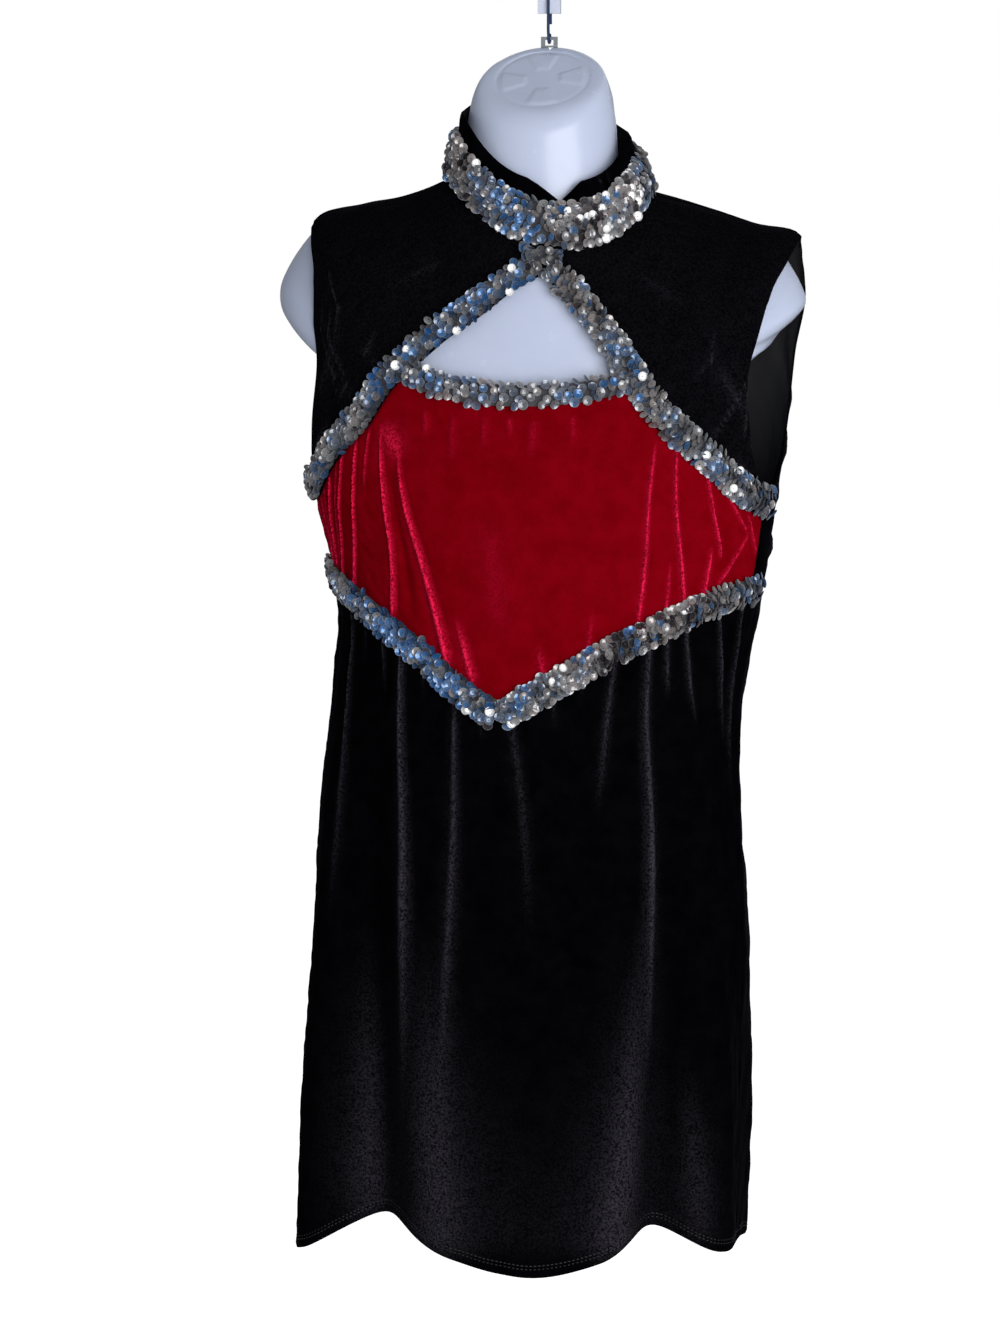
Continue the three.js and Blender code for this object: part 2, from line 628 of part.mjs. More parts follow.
for (const [side, sign] of [['left', -1], ['right', 1]]) {
  add(`yoke_${side}`, yoke(sign), 'black');
  add(`back_${side}`, back(sign), 'black');
  add(`diagonal_trim_${side}`, diagonalBand(sign), 'silver');
  add(`vee_trim_${side}`, veeBand(sign), 'silver');
}
add('bust_panel', frontPanel(bustTop, veeLevel, spread(0, 1, 8)), 'red');
add('skirt_front', frontPanel(veeLevel, (angle) => hemLevel(angle) - GAP / 2, SKIRT_ROWS), 'black');
add('collar', collar(), 'black');
add('collar_trim', collarBand(), 'silver');
add('bar_trim', barBand(), 'silver');
add('torso_form', torso(), 'form');
add('neck_fitting', neckFitting(), 'steel', part);
add('hook_wire', hookWire(), 'steel', part);
add('wall_hook', hookTab(), 'white', part);

export default part;
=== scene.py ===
import math

import bpy
import numpy as np
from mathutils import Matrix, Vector


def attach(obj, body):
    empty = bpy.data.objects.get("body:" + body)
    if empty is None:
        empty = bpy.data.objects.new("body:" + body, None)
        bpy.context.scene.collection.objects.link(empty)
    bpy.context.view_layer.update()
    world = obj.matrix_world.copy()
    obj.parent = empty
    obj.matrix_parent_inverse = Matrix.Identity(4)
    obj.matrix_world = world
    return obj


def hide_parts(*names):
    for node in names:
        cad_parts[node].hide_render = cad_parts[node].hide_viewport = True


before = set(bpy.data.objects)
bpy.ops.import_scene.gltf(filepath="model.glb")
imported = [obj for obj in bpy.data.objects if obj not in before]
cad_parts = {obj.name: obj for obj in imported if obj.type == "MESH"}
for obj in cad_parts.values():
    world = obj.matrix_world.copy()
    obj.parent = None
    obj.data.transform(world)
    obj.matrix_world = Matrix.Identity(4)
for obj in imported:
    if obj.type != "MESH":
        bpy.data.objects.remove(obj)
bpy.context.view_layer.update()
scene = bpy.context.scene

# ---------- camera ----------
CAMERA = {"azimuth": 10, "elevation": 8, "distance": 3.0, "lens": 101.3}
TARGET = Vector((-0.0314, -0.047, -0.583))


def aim(name, data, location, target):
    """A camera or light that looks from one point to another."""
    made = bpy.data.objects.new(name, data)
    made.location = location
    made.rotation_mode = "QUATERNION"
    made.rotation_quaternion = (Vector(target) - Vector(location)).to_track_quat("-Z", "Y")
    scene.collection.objects.link(made)
    return made


azimuth, elevation = math.radians(CAMERA["azimuth"]), math.radians(CAMERA["elevation"])
flat = math.cos(elevation)
back = Vector((math.sin(azimuth) * flat, -math.cos(azimuth) * flat, math.sin(elevation)))
camera = bpy.data.cameras.new("camera")
camera.lens, camera.sensor_width, camera.clip_end = CAMERA["lens"], 36, 50
scene.camera = aim("camera", camera, TARGET + back * CAMERA["distance"], TARGET)


# ---------- curves and surfaces ----------
def numbers(text, between="\n"):
    return np.array([row.split() for row in text.strip().split(between)], float)


def table(names, text):
    return dict(zip(names.split(), numbers(text).T))


def rows_of(names, text):
    return [dict(zip(names.split(), row)) for row in numbers(text).tolist()]


def through(xs, ys):
    """A smooth function through points, the same as the solids use."""
    order = np.argsort(xs)
    xs, ys = np.asarray(xs, float)[order], np.asarray(ys, float)[order]
    span = np.diff(xs)
    rise = np.diff(ys) / span
    between = (rise[:-1] * span[1:] + rise[1:] * span[:-1]) / (span[:-1] + span[1:])
    slope = np.concatenate([rise[:1], between, rise[-1:]])

    def value(at):
        at = np.asarray(at, float)
        i = np.clip(np.searchsorted(xs, at) - 1, 0, len(xs) - 2)
        t = np.clip((at - xs[i]) / span[i], -0.3, 1.3)
        t2, t3 = t * t, t * t * t
        return ((2 * t3 - 3 * t2 + 1) * ys[i] + (t3 - 2 * t2 + t) * span[i] * slope[i]
                + (3 * t2 - 2 * t3) * ys[i + 1] + (t3 - t2) * span[i] * slope[i + 1])

    return value


def curve(*points):
    return through(*zip(*points))


def smooth(t):
    t = np.clip(t, 0, 1)
    return t * t * (3 - 2 * t)


def bell(value, middle=0, half=1):
    return np.exp(-(((value - middle) / half) ** 2))


def power(value, exponent):
    return np.sign(value) * np.abs(value) ** exponent


def unit(vectors):
    return vectors / np.linalg.norm(vectors, axis=-1, keepdims=True)


CLOTH, FORM_WALL = 1.3, 3  # thickness
SIDE_SEAM, SHOULDER_SEAM = 80, 90  # degrees from the front
NECK, STRAP_END, ARMHOLE_BOTTOM, KEYHOLE_TOP, COLLAR_TOP = -249, -311, -441, -268, -197  # levels
COLLAR_GAP = 0.5
SLIT = 0.004  # degrees that each panel stays short of a seam
TRIM_WIDTH, BAR_WIDTH = 20.5, 19
NOTCH = {"at": 11.5, "depth": 14, "reach": 17}

DRESS_RINGS = table("level half front side back liftSide liftBack shift turn bow roll twist", """
-249 79 -60 2 62 48.5 58 8.5 2 0.9 5 12
-262 113 -62 27 64 50 48 8.5 2 0.8 4 7
-284 155 -66 35 65 61 42 8 0 0.6 7 2
-310 194 -72 32 65 76 42 8 -1 0.5 6 0
-336 205 -78 16 65 62 38 8 -3 0.5 3 0
-372 196 -87 10 66 40 26 7 -5 0.55 0 0
-408 191 -95 4 67 18 10 5 -6 0.7 0 0
-445 184 -100 0 68 0 0 5 -6 0.85 0 0
-485 176 -103 0 68 0 0 8 -6 0.9 0 0
-540 167 -105 -2 68 0 0 8 -6 0.9 0 0
-600 164.5 -106 -4 68 0 0 0 -4 0.9 0 0
-690 168 -106 -6 68 0 0 -7.5 0 0.9 0 0
-800 173 -108 -6 72 0 0 -7 0 0.9 0 0
-930 177 -112 -6 76 0 0 -9 0 0.9 0 0
-1060 177 -116 -6 80 0 0 -12.5 0 0.9 0 0
""")
COLLAR_RINGS = table("level half front side back liftSide liftBack shift turn bow roll twist", """
-248.5 79 -60 2 62 48.5 58 8.5 2 0.9 5 12
-222 71.5 -54 3 61 46 60 6.5 2 0.9 6 12
-197 66 -47 4 60 45 62 3.5 2 0.9 8 12
""")
FORM_RINGS = table("level half front side back liftSide liftBack shift bow roll reach twist", """
-165 56 -39 11 57 27 50 0 0.8 0 125 0
-192 58 -41 10 55 42 56 0 1 0 108 0
-225 61 -45 6 54 43 58 0 1 1 106 8
-249 65 -52 6 54 45 52 0 1 1 108 12
-262 100 -57 27 56 51 42 0 1 1.5 112 7
-284 142 -61 35 57 61.5 36 0 1 4.5 112 2
-310 182 -66 33 57 77 40 -1 1 4 112 0
-322 196.8 -68 31 57 67 42 -3.2 1 4 112 0
-332 206.8 -70 29 57 60 42 -3.2 1 4 112 0
-342 211.8 -72 27 57 55 42 -3.2 1 5 112 0
-351 207.6 -74 25 57 51 42 -6.4 1 4 112 0
-360 198.3 -76 22 57 49 40 -8.7 1 4 112 0
-370 188.5 -79 19 57 49 40 -7.5 1 3 112 0
-381 177.2 -83 14 57 51 40 -5.8 1 3 112 0
-393 165 -86 11 57 50 40 -5 1 2 112 0
-410 160 -90 7 57 42 34 -2 1 1 112 0
-435 160 -93 4 58 24 20 0 1 0 112 0
-470 160 -94 1 58 0 0 0 1 0 112 0
-530 154 -92 0 58 0 0 0 1 0 112 0
-600 147 -88 0 58 0 0 0 1 0 112 0
-680 148 -90 0 59 0 0 0 1 0 112 0
-745 152 -92 0 60 0 0 0 1 0 112 0
""")
# Big folds of the skirt, the same as in the solids: degrees, levels, half widths in degrees and height.
FOLDS = rows_of("top start foot end narrow wide out", """
-58 -530 -64 -1070 7 17 13
-42 -560 -35 -1070 7 13 -24
-29 -560 -24 -900 5 9 6
-13 -600 -12 -1070 5 12 9
2 -620 5 -1070 5 12 8
25 -570 18 -900 5 8 4
34 -560 29 -1070 5 9 7
45 -545 41 -1070 6 11 -20
57 -530 64 -1070 6 14 12
86 -530 84 -800 6 9 5
105 -600 112 -1070 8 15 12
135 -600 140 -1070 8 13 -20
176 -640 172 -1070 9 18 10
-105 -600 -110 -1070 8 15 12
-138 -600 -142 -1070 8 13 -18
""")
FOLDS_START = -507  # no big fold stands above this level

# Levels of the seams by degrees from the front, and of the hem.
diagonal_at = curve(
    (0, KEYHOLE_TOP), (5, -282), (10.5, -306), (15.3, -326), (18.5, -341), (24, -360), (30, -379), (36, -394),
    (44, -409), (53, -424), (63, -438), (72, -446), (80, -450), (88, -452),
)
vee_at = curve((0, -608), (7, -592), (15, -576), (25, -556), (35, -542), (50, -524), (65, -513), (80, -508), (88, -507))
hem_level = curve(
    (-180, -1046), (-140, -1030), (-110, -1052), (-90, -1058), (-62, -1050), (-34, -1014), (-10, -1037), (6, -1049),
    (24, -1038), (39, -1016), (62, -1036), (90, -1041), (112, -1046), (142, -1026), (180, -1046),
)
SEAM_ROLL = -0.05  # the seams lie this much lower for each degree to the right
LEFT_SAG = 8.5  # mm that the left diagonal seam's middle hangs lower than in the solids
BAR = {"level": -361, "rise": 6, "reach": 20}
# Degrees of the armhole's front and back edge, from STRAP_END down to ARMHOLE_BOTTOM.
ARMHOLE = table("level front back", """
-311 90 90
-313 80 99
-318 69 105
-330 60.5 108
-348 58.5 108
-372 60 106
-395 64 102
-415 68.5 96
-430 73.5 89
-438 77 84
-441 80 80
""")
armhole_front = through(ARMHOLE["level"], ARMHOLE["front"])
armhole_back = through(ARMHOLE["level"], ARMHOLE["back"])


def ring_surface(rings, roundness):
    """The surface through rings of half ovals: its points by degrees from the front and level."""
    columns = {name: through(rings["level"], values) for name, values in rings.items()}

    def surface(angle, level):
        angle, level = np.broadcast_arrays(np.asarray(angle, float), np.asarray(level, float))
        at = {name: column(level) for name, column in columns.items()}
        to_back = smooth((np.abs(angle) - 100) / 80)
        turned = np.radians(angle + at.get("turn", 0) * (1 - to_back))
        across, along = np.sin(turned), np.cos(turned)
        behind = along < 0
        bow = np.where(behind, at["bow"], roundness)
        reach = np.where(behind, at["back"] - at["side"], at["side"] - at["front"])
        ahead = np.cos(turned - np.radians(at["twist"]))
        centred = np.abs(ahead) ** 1.6
        lift = at["liftSide"] * (1 - centred)
        lift = lift + np.where(ahead < 0, at["liftBack"] * centred, 0) - at["roll"] * across
        x = at["shift"] + at["half"] * power(across, roundness)
        return np.stack([x, at["side"] - reach * power(along, bow), level + lift], -1)

    return surface


dress_form = ring_surface(DRESS_RINGS, 2 / 2.25)
collar_form = ring_surface(COLLAR_RINGS, 2 / 2.25)
torso_form = ring_surface(FORM_RINGS, 1)


def normals_of(surface, angle, level):
    over_angle = surface(angle + 0.4, level) - surface(angle - 0.4, level)
    over_level = surface(angle, level + 1) - surface(angle, level - 1)
    return unit(np.cross(over_angle, over_level))


def moved(surface, angle, level, out):
    return surface(angle, level) + normals_of(surface, angle, level) * np.asarray(out)[..., None]


def fold_height(angle, level):
    height = np.zeros(np.broadcast(angle, level).shape)
    for fold in FOLDS:
        t = (fold["start"] - level) / (fold["start"] - fold["end"])
        middle = fold["top"] + (fold["foot"] - fold["top"]) * t
        width = fold["narrow"] + (fold["wide"] - fold["narrow"]) * t
        away = ((angle - middle + 540) % 360 - 180) / width
        fade = np.where(t > 1, smooth(1 - (t - 1) * 3), 1)
        height = height + np.where(t > 0, fold["out"] * smooth(t * 1.3) * fade * np.exp(-away * away), 0)
    return np.where(level < FOLDS_START, height, 0)


def dress_surface(angle, level):
    return moved(dress_form, angle, level, fold_height(angle, level))


def diagonal_level(angle):
    sag = LEFT_SAG * smooth((-27 - angle) / 7) * smooth((78 + angle) / 14)
    return diagonal_at(np.abs(angle)) + SEAM_ROLL * angle - sag


def vee_level(angle):
    return vee_at(np.abs(angle)) + SEAM_ROLL * angle


def bar_level(angle):
    return BAR["level"] + BAR["rise"] * (angle / BAR["reach"]) ** 2


def diagonal_angle(level, sign):
    low, high = 0.0, 88.0
    for _ in range(40):
        middle = (low + high) / 2
        low, high = (middle, high) if diagonal_level(sign * middle) > level else (low, middle)
    return (low + high) / 2


# ---------- creases ----------
# Soft ridges and troughs of each panel: degrees and level of both ends, degrees that the middle sways to the right,
# half width in mm at both ends, height in mm, shares of the length over which one grows (0: it starts at full height)
# and dies, and how much painted sheen lies along it.
CREASE = "a0 l0 a1 l1 sway w0 w1 out grow die shine"
BUST_CREASES = rows_of(CREASE, """
-62 -436 -66 -512 0 3 4.5 1.6 0.1 0.2 0.35
-29 -388 -22 -416 0 9 11 0.4 0.4 0.5 0.4
-67 -442 -71 -506 0 1.4 2 1 0.2 0.2 0.5
-57 -426 -67 -505 0.6 0.9 1.3 0.9 0.2 0.2 0.5
-46.5 -412 -61.5 -508 0.5 0.9 1.3 0.8 0.2 0.2 0.45
-51 -420 -64 -506 0 1.3 1.8 1.8 0.1 0.1 0.9
-43 -408 -59 -514 0 1.2 1.6 1.8 0.1 0.1 0.7
-37.5 -400 -53 -526 1.5 1.2 2.4 1.9 0.1 0.1 0.9
-32.5 -392 -37 -444 0 1.1 1.5 1.2 0.2 0.5 0.5
-29.5 -384 -33 -540 1.8 1.5 3.4 2.4 0.3 0.1 0.9
-24 -390 -12.5 -574 -2.4 1.8 4 2.8 0.35 0.1 1
-26 -410 -24.5 -540 -1 5 6 -1.6 0.2 0.2 0
-11.5 -528 -5.5 -586 0 2.6 3.6 1.8 0.5 0.2 0.7
-17 -378 -16 -398 0 2.5 3 0.7 0.1 0.6 0.15
-10 -378 -9 -420 0 2.5 3.5 0.8 0.1 0.6 0.1
-3 -378 -2 -404 0 2 3 0.7 0.1 0.6 0.1
2 -378 3 -392 0 1.6 2 0.6 0.1 0.6 0.2
6 -378 7 -412 0 2.5 3.5 0.8 0.1 0.6 0.1
13 -376 15 -400 0 2 3 0.6 0.1 0.6 0.15
-2 -440 1 -560 0 12 14 0.8 0.4 0.4 0.06
14 -400 12 -540 0 14 16 -0.8 0.4 0.4 0
8 -548 10 -582 0 2.6 3 0.9 0.5 0.2 0.3
21 -520 20 -562 0 2.6 3 0.8 0.5 0.2 0.2
34.2 -396 33.5 -544 0.3 1.3 2.4 1.8 0.15 0.2 0.7
40 -400 48.5 -528 -0.8 1.3 2.6 2.2 0.1 0.1 0.8
41.5 -484 42 -534 0 1.5 2 1.2 0.4 0.2 0.5
49 -414 60 -488 0.6 1.4 2.2 2.2 0.1 0.15 0.8
55.5 -474 54.5 -522 0 2 3.4 1.8 0.3 0.2 0.7
58 -434 72 -468 0 1.3 1.8 1.5 0.2 0.2 0.5
73 -464 59 -508 0 1.4 2.6 1.6 0.2 0.2 0.6
70 -450 79 -488 0 2.2 2.6 1.5 0.2 0.2 0.4
-70 -446 -76 -500 0 2.4 3 1.5 0.2 0.2 0.4
""")
SKIRT_CREASES = rows_of(CREASE, """
-72 -512 -76 -640 0 3 6 2 0 0.7 0.2
-64 -516 -66 -590 0 2.6 4 1.8 0 0.8 0.2
-54 -522 -57 -800 2 1.8 8 2.6 0 0.6 0.4
-46 -530 -45 -576 0 1.5 2.6 1.2 0 0.8 0.2
-37.5 -540 -34 -600 0 1.6 3 1.8 0 0.8 0.4
-29 -552 -25 -960 0.6 2.6 9 3.2 0 0.6 1
-21 -564 -20 -600 0 2 3 1.4 0 0.8 0.2
-10.5 -586 -13.5 -960 -1 2.4 8 2.6 0 0.7 0.6
-4 -600 -4 -632 0 2 3 1.2 0 0.8 0.2
3 -600 5 -800 -0.6 2.4 6 2 0 0.8 0.3
12 -584 12.5 -622 0 2 3.4 1.3 0 0.8 0.2
19.5 -568 19 -600 0 2 3 1.2 0 0.8 0.15
28 -552 21 -690 1.2 2.4 5 2.2 0 0.7 0.6
37.5 -540 35 -920 2.2 2.6 9 3.4 0 0.6 1
42.5 -534 46 -596 0 2.2 3.4 2.2 0 0.5 0.6
48.5 -528 58 -620 -0.4 2.2 3.6 2.4 0 0.6 0.8
61 -518 74 -640 0.8 2.2 4.6 2.2 0 0.6 0.6
75 -512 78 -680 0 2.6 6 2 0 0.6 0.4
-44 -760 -40 -1044 0 16 34 1.2 0.8 0.2 0.4
-20 -760 -13 -1046 0.5 16 42 1.2 0.8 0.1 0.5
35 -740 26 -1046 0.5 14 38 1.4 0.8 0.1 0.55
50 -860 56 -1040 0 14 26 1.6 0.7 0.2 0.25
""")
YOKE_CREASES = rows_of(CREASE, """
-57.5 -314 -27 -362 0 1.3 1.6 0.8 0.2 0.3 0.3
-55 -328 -38.5 -386 -0.6 1.4 1.8 0.8 0.2 0.3 0.35
-55 -340 -43 -394 -0.6 1.2 1.6 0.7 0.2 0.4 0.3
-58 -364 -34 -392 0.5 1.4 1.8 0.6 0.3 0.4 0.2
-66 -424 -48 -396 0 2.6 4 1.5 0.2 0.5 0.3
-62 -398 -40 -330 0 5 7 1 0.3 0.5 0.1
53 -332 39 -361 0 1.2 1.6 0.8 0.2 0.3 0.3
61.5 -366 48.5 -407 0.5 1.3 1.8 0.8 0.2 0.3 0.35
60.5 -372 63.5 -408 0 2.4 3 1.2 0.2 0.3 0.35
65 -380 68 -418 0 2 2.6 1.2 0.2 0.3 0.4
62 -392 44 -352 0 3.4 6 1.2 0.2 0.5 0.2
72 -432 58 -416 0 2.6 4 1.2 0.2 0.4 0.25
30 -272 36 -310 0 6 8 0.8 0.3 0.5 0.08
-30 -272 -36 -310 0 6 8 0.8 0.3 0.5 0.08
""")
BACK_CREASES = rows_of(CREASE, """
100 -404 128 -352 0 4 7 2 0.2 0.6 0.3
94 -424 120 -400 0 4 7 2.2 0.2 0.6 0.3
86 -446 110 -440 0 4 7 1.8 0.2 0.6 0.3
88 -470 122 -506 0 4 8 2 0.2 0.6 0.3
84 -500 100 -560 0 4 8 2 0.2 0.6 0.3
150 -330 146 -440 0 8 10 1.5 0.4 0.5 0.2
168 -420 160 -620 0 7 10 2.4 0.4 0.5 0.4
128 -540 134 -760 0 6 11 3 0.4 0.5 0.5
114 -560 112 -800 0 6 10 3 0.4 0.5 0.5
150 -620 154 -900 0 7 12 3.2 0.4 0.4 0.5
98 -620 97 -900 0 6 11 3 0.4 0.5 0.4
168 -760 164 -1040 0 9 14 3 0.4 0.1 0.5
122 -820 125 -1046 0 9 13 2.4 0.5 0.1 0.5
-98 -410 -126 -360 0 4 7 2 0.2 0.6 0.3
-92 -430 -124 -418 0 4 7 2.2 0.2 0.6 0.3
-86 -452 -108 -462 0 4 7 1.8 0.2 0.6 0.3
-88 -484 -116 -530 0 4 8 2 0.2 0.6 0.3
-146 -340 -150 -450 0 8 10 1.5 0.4 0.5 0.2
-166 -470 -158 -680 0 7 10 2.4 0.4 0.5 0.4
-126 -560 -130 -790 0 6 11 3 0.4 0.5 0.5
-108 -540 -106 -760 0 6 10 3 0.4 0.5 0.5
-152 -660 -156 -930 0 7 12 3.2 0.4 0.4 0.5
-94 -640 -93 -900 0 6 11 3 0.4 0.5 0.4
-170 -800 -166 -1040 0 9 14 3 0.4 0.1 0.5
-121 -800 -124 -1046 0 9 13 2.4 0.5 0.1 0.5
""")
COLLAR_CREASES = rows_of(CREASE, """
44 -192 40 -222 0 1.6 2.2 0.7 0 0.5 0.3
51 -192 50 -224 0 1.4 2 0.6 0 0.5 0.3
-60 -192 -57 -224 0 1.6 2.2 0.7 0 0.5 0.2
100 -192 104 -228 0 1.6 2.2 0.7 0 0.5 0.2
-128 -192 -124 -228 0 1.6 2.2 0.7 0 0.5 0.2
""")
MM_A_DEGREE = 3.0  # of the dress's girth
NARROW = 0.82  # share of the tables' widths that the creases are given


def creased(rows, angle, level):
    """Height in mm and painted sheen of the creases at each place."""
    height, shine = np.zeros((2, *angle.shape))
    for row in rows:
        run, drop = (row["a1"] - row["a0"]) * MM_A_DEGREE, row["l1"] - row["l0"]
        length = math.hypot(run, drop)
        u, v = (angle - row["a0"]) * MM_A_DEGREE, level - row["l0"]
        t = (u * run + v * drop) / length**2
        bend = row["sway"] * MM_A_DEGREE * 4 * np.clip(t, 0, 1) * np.clip(1 - t, 0, 1)
        away = (u * drop - v * run) / length - bend * math.copysign(1, drop)
        width = NARROW * (row["w0"] + (row["w1"] - row["w0"]) * np.clip(t, 0, 1))
        start = smooth(t / row["grow"]) if row["grow"] > 0 else smooth((t + 0.3) / 0.25)
        along = start * smooth((1 - t) / row["die"])
        beside = np.abs(away) / width
        height += row["out"] * along * (bell(beside) - 0.3 * bell(beside, 2.1))
        shine += row["shine"] * along * (0.8 * bell(beside, 0, 0.6) + 0.3 * bell(beside, 0, 1.7))
    return height, shine


def ripple(angle, level, size, seed):
    """Slow unevenness between -1 and 1, about size mm from crest to crest."""
    random = np.random.default_rng(seed)
    total = np.zeros(angle.shape)
    for _ in range(7):
        heading, phase, pace = random.uniform(0, math.pi), random.uniform(0, 2 * math.pi), random.uniform(0.7, 1.5)
        u = angle * MM_A_DEGREE * math.cos(heading) + level * math.sin(heading)
        total += np.sin(u * 2 * math.pi * pace / size + phase)
    return total / 4


# ---------- meshes ----------
BODY_DEPTH = -47  # y of the torso's middle in the part's frame, mm


def metres(points):
    return (np.asarray(points, float) + np.array([0, BODY_DEPTH, 0])) * 0.001


def make_object(name, points, faces, material, attributes=(), sharp=55, inside=None):
    """inside: the material of the inner side and its first and last face."""
    mesh = bpy.data.meshes.new(name)
    mesh.from_pydata(np.asarray(points).reshape(-1, 3).tolist(), [], [list(map(int, f)) for f in faces])
    for key, values in attributes:
        layer = mesh.attributes.new(key, "FLOAT", "POINT")
        layer.data.foreach_set("value", np.asarray(values, np.float32).ravel())
    mesh.materials.append(material)
    if inside:
        lining, first, last = inside
        mesh.materials.append(lining)
        for face in range(first, last):
            mesh.polygons[face].material_index = 1
    mesh.shade_smooth()
    if sharp:
        mesh.set_sharp_from_angle(angle=math.radians(sharp))
    mesh.validate()
    made = bpy.data.objects.new(name, mesh)
    scene.collection.objects.link(made)
    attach(made, "root")
    return made


def grid_faces(rows, columns, first=0, flip=False):
    at = np.arange(rows * columns).reshape(rows, columns) + first
    quads = np.stack([at[:-1, :-1], at[1:, :-1], at[1:, 1:], at[:-1, 1:]], -1).reshape(-1, 4)
    return quads[:, ::-1] if flip else quads


def rim_faces(rows, columns):
    """Faces that close a wall between two grids of the same size."""
    at = np.arange(rows * columns).reshape(rows, columns)
    found = []
    for edge, flip in ((at[0], False), (at[-1], True), (at[:, 0], True), (at[:, -1], False)):
        a, b = edge[:-1], edge[1:]
        quads = np.stack([a, b, b + at.size, a + at.size], -1)
        found.append(quads[:, ::-1] if flip else quads)
    return np.concatenate(found)


def grid_normals(grid):
    return unit(np.cross(np.gradient(grid, axis=1), np.gradient(grid, axis=0)))


def shell(name, outer, inner, material, attributes=(), sharp=55, lining=None):
    rows, columns = outer.shape[:2]
    points = np.concatenate([outer.reshape(-1, 3), inner.reshape(-1, 3)])
    sheets = [grid_faces(rows, columns), grid_faces(rows, columns, rows * columns, True)]
    faces = np.concatenate([*sheets, rim_faces(rows, columns)])
    centre = outer.reshape(-1, 3).mean(0)
    a, b, c = (points[faces[:, k]] - centre for k in range(3))
    if np.einsum("ij,ij->i", a, np.cross(b, c)).sum() < 0:
        faces = faces[:, ::-1]
    both = [(key, np.concatenate([values.ravel(), values.ravel()])) for key, values in attributes]
    side = (rows - 1) * (columns - 1)
    return make_object(name, metres(points), faces, material, both, sharp, lining and (lining, side, 2 * side))


def edged(count, near=(0.0, 0.8, 1.8, 3.2), length=300.0):
    """Shares from 0 to 1, evenly spaced but closer together beside both ends, for a strip of that many mm."""
    ends = np.array(near) / length
    return np.concatenate([ends, np.linspace(ends[-1], 1 - ends[-1], count)[1:-1], 1 - ends[::-1]])


def edge_roll(points):
    """Distance in mm of each grid point from the grid's nearest edge."""
    def along(axis):
        steps = np.linalg.norm(np.diff(points, axis=axis), axis=-1)
        zero = np.zeros_like(np.take(steps, [0], axis=axis))
        walked = np.concatenate([zero, np.cumsum(steps, axis=axis)], axis=axis)
        return np.minimum(walked, np.take(walked, [-1], axis=axis) - walked)

    return np.minimum(along(0), along(1))


def relief(creases, uneven, seed, angle, level):
    """Height of a panel's creases and slow unevenness, and how much painted sheen lies on it."""
    raised, shine = creased(creases, angle, level)
    return raised + uneven * ripple(angle, level, 38, seed) + 0.25 * ripple(angle, level, 15, seed + 50), shine


HEM_STITCH = 8.5  # mm from the hem to the middle of its two rows of stitches
STITCH_DIP = 0.45  # mm that they draw the cloth in


def cloth(name, node, places, creases, material, uneven, seed, surface=dress_surface, hemmed=False, painted_sheen=0.0):
    """A velvet panel over a grid of places: its folds, creases, slow unevenness and rolled edges, with painted sheen
    along its creases and an even amount of painted sheen over the whole panel.
    """
    angle, level = places
    height, shine = relief(creases, uneven, seed, angle, level)
    base, up = surface(angle, level), normals_of(surface, angle, level)
    near = edge_roll(base)
    height = height * smooth(near / 5) - 0.6 * bell(near, 0, 1.6)
    if hemmed:
        steps = np.linalg.norm(np.diff(base, axis=0), axis=-1)
        from_hem = np.concatenate([np.cumsum(steps[::-1], axis=0)[::-1], np.zeros_like(steps[:1])])
        height = height - STITCH_DIP * bell(from_hem, HEM_STITCH, 1.4)
    outer = base + up * height[..., None]
    normal = grid_normals(outer)
    if (normal * up).sum() < 0:
        normal = -normal
    # Painted sheen: the creases' amount plus the panel's even amount, which the velvet uses to lighten its colour.
    attributes = [("painted_sheen", np.clip(shine + painted_sheen, 0, 1.4))]
    made = shell(name, outer, outer - normal * CLOTH, material, attributes, lining=LINING)
    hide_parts(node)
    return made


def hem_stitches(name, creases, uneven, seed, start, end):
    """Two rows of small stitches along a hem, between two angles."""
    corners = []
    for above in (HEM_STITCH - 1.4, HEM_STITCH + 1.4):
        angles = even_angles(lambda a: hem_level(a) + above, start, end, 3.4)

        def place(a, rise):
            level = hem_level(a) + above
            return moved(dress_surface, a, level, relief(creases, uneven, seed, a, level)[0] - STITCH_DIP + rise)

        share = 0.36 * np.gradient(angles)
        shape = ((-1, 0.1), (-0.7, 0.35), (0.7, 0.35), (1, 0.1))
        tail, back, front, tip = (place(angles + share * along, rise) for along, rise in shape)
        up = unit(normals_of(dress_surface, angles, hem_level(angles) + above))
        beside = np.cross(up, unit(tip - tail)) * 0.35
        crown = (back + front) / 2 + up * 0.2
        corners.append(np.stack([tail, back - beside, front - beside, tip, front + beside, back + beside, crown], 1))
    points = np.concatenate(corners)
    faces = [[7 * k + n, 7 * k + (n + 1) % 6, 7 * k + 6] for k in range(len(points)) for n in range(6)]
    made = make_object(name, metres(points.reshape(-1, 3)), faces, THREAD, sharp=0)
    return made


# ---------- materials ----------
def node_material(name):
    material = bpy.data.materials.new(name)
    material.use_nodes = True
    tree = material.node_tree
    tree.nodes.clear()
    output = tree.nodes.new("ShaderNodeOutputMaterial")
    shader = tree.nodes.new("ShaderNodeBsdfPrincipled")
    tree.links.new(shader.outputs[0], output.inputs[0])
    return material, tree, shader


def setup(node, **values):
    """Sets a node's own sockets. An underscore stands for the space in a socket's name."""
    for key, value in values.items():
        node.inputs[key.replace("_", " ")].default_value = value
    return node


def noise(tree, scale, detail, roughness):
    where = tree.nodes.new("ShaderNodeTexCoord")
    node = setup(tree.nodes.new("ShaderNodeTexNoise"), Scale=scale, Detail=detail, Roughness=roughness)
    tree.links.new(where.outputs["Object"], node.inputs["Vector"])
    return node.outputs["Fac"]


def attribute(tree, name):
    node = tree.nodes.new("ShaderNodeAttribute")
    node.attribute_name = name
    return node.outputs["Fac"]


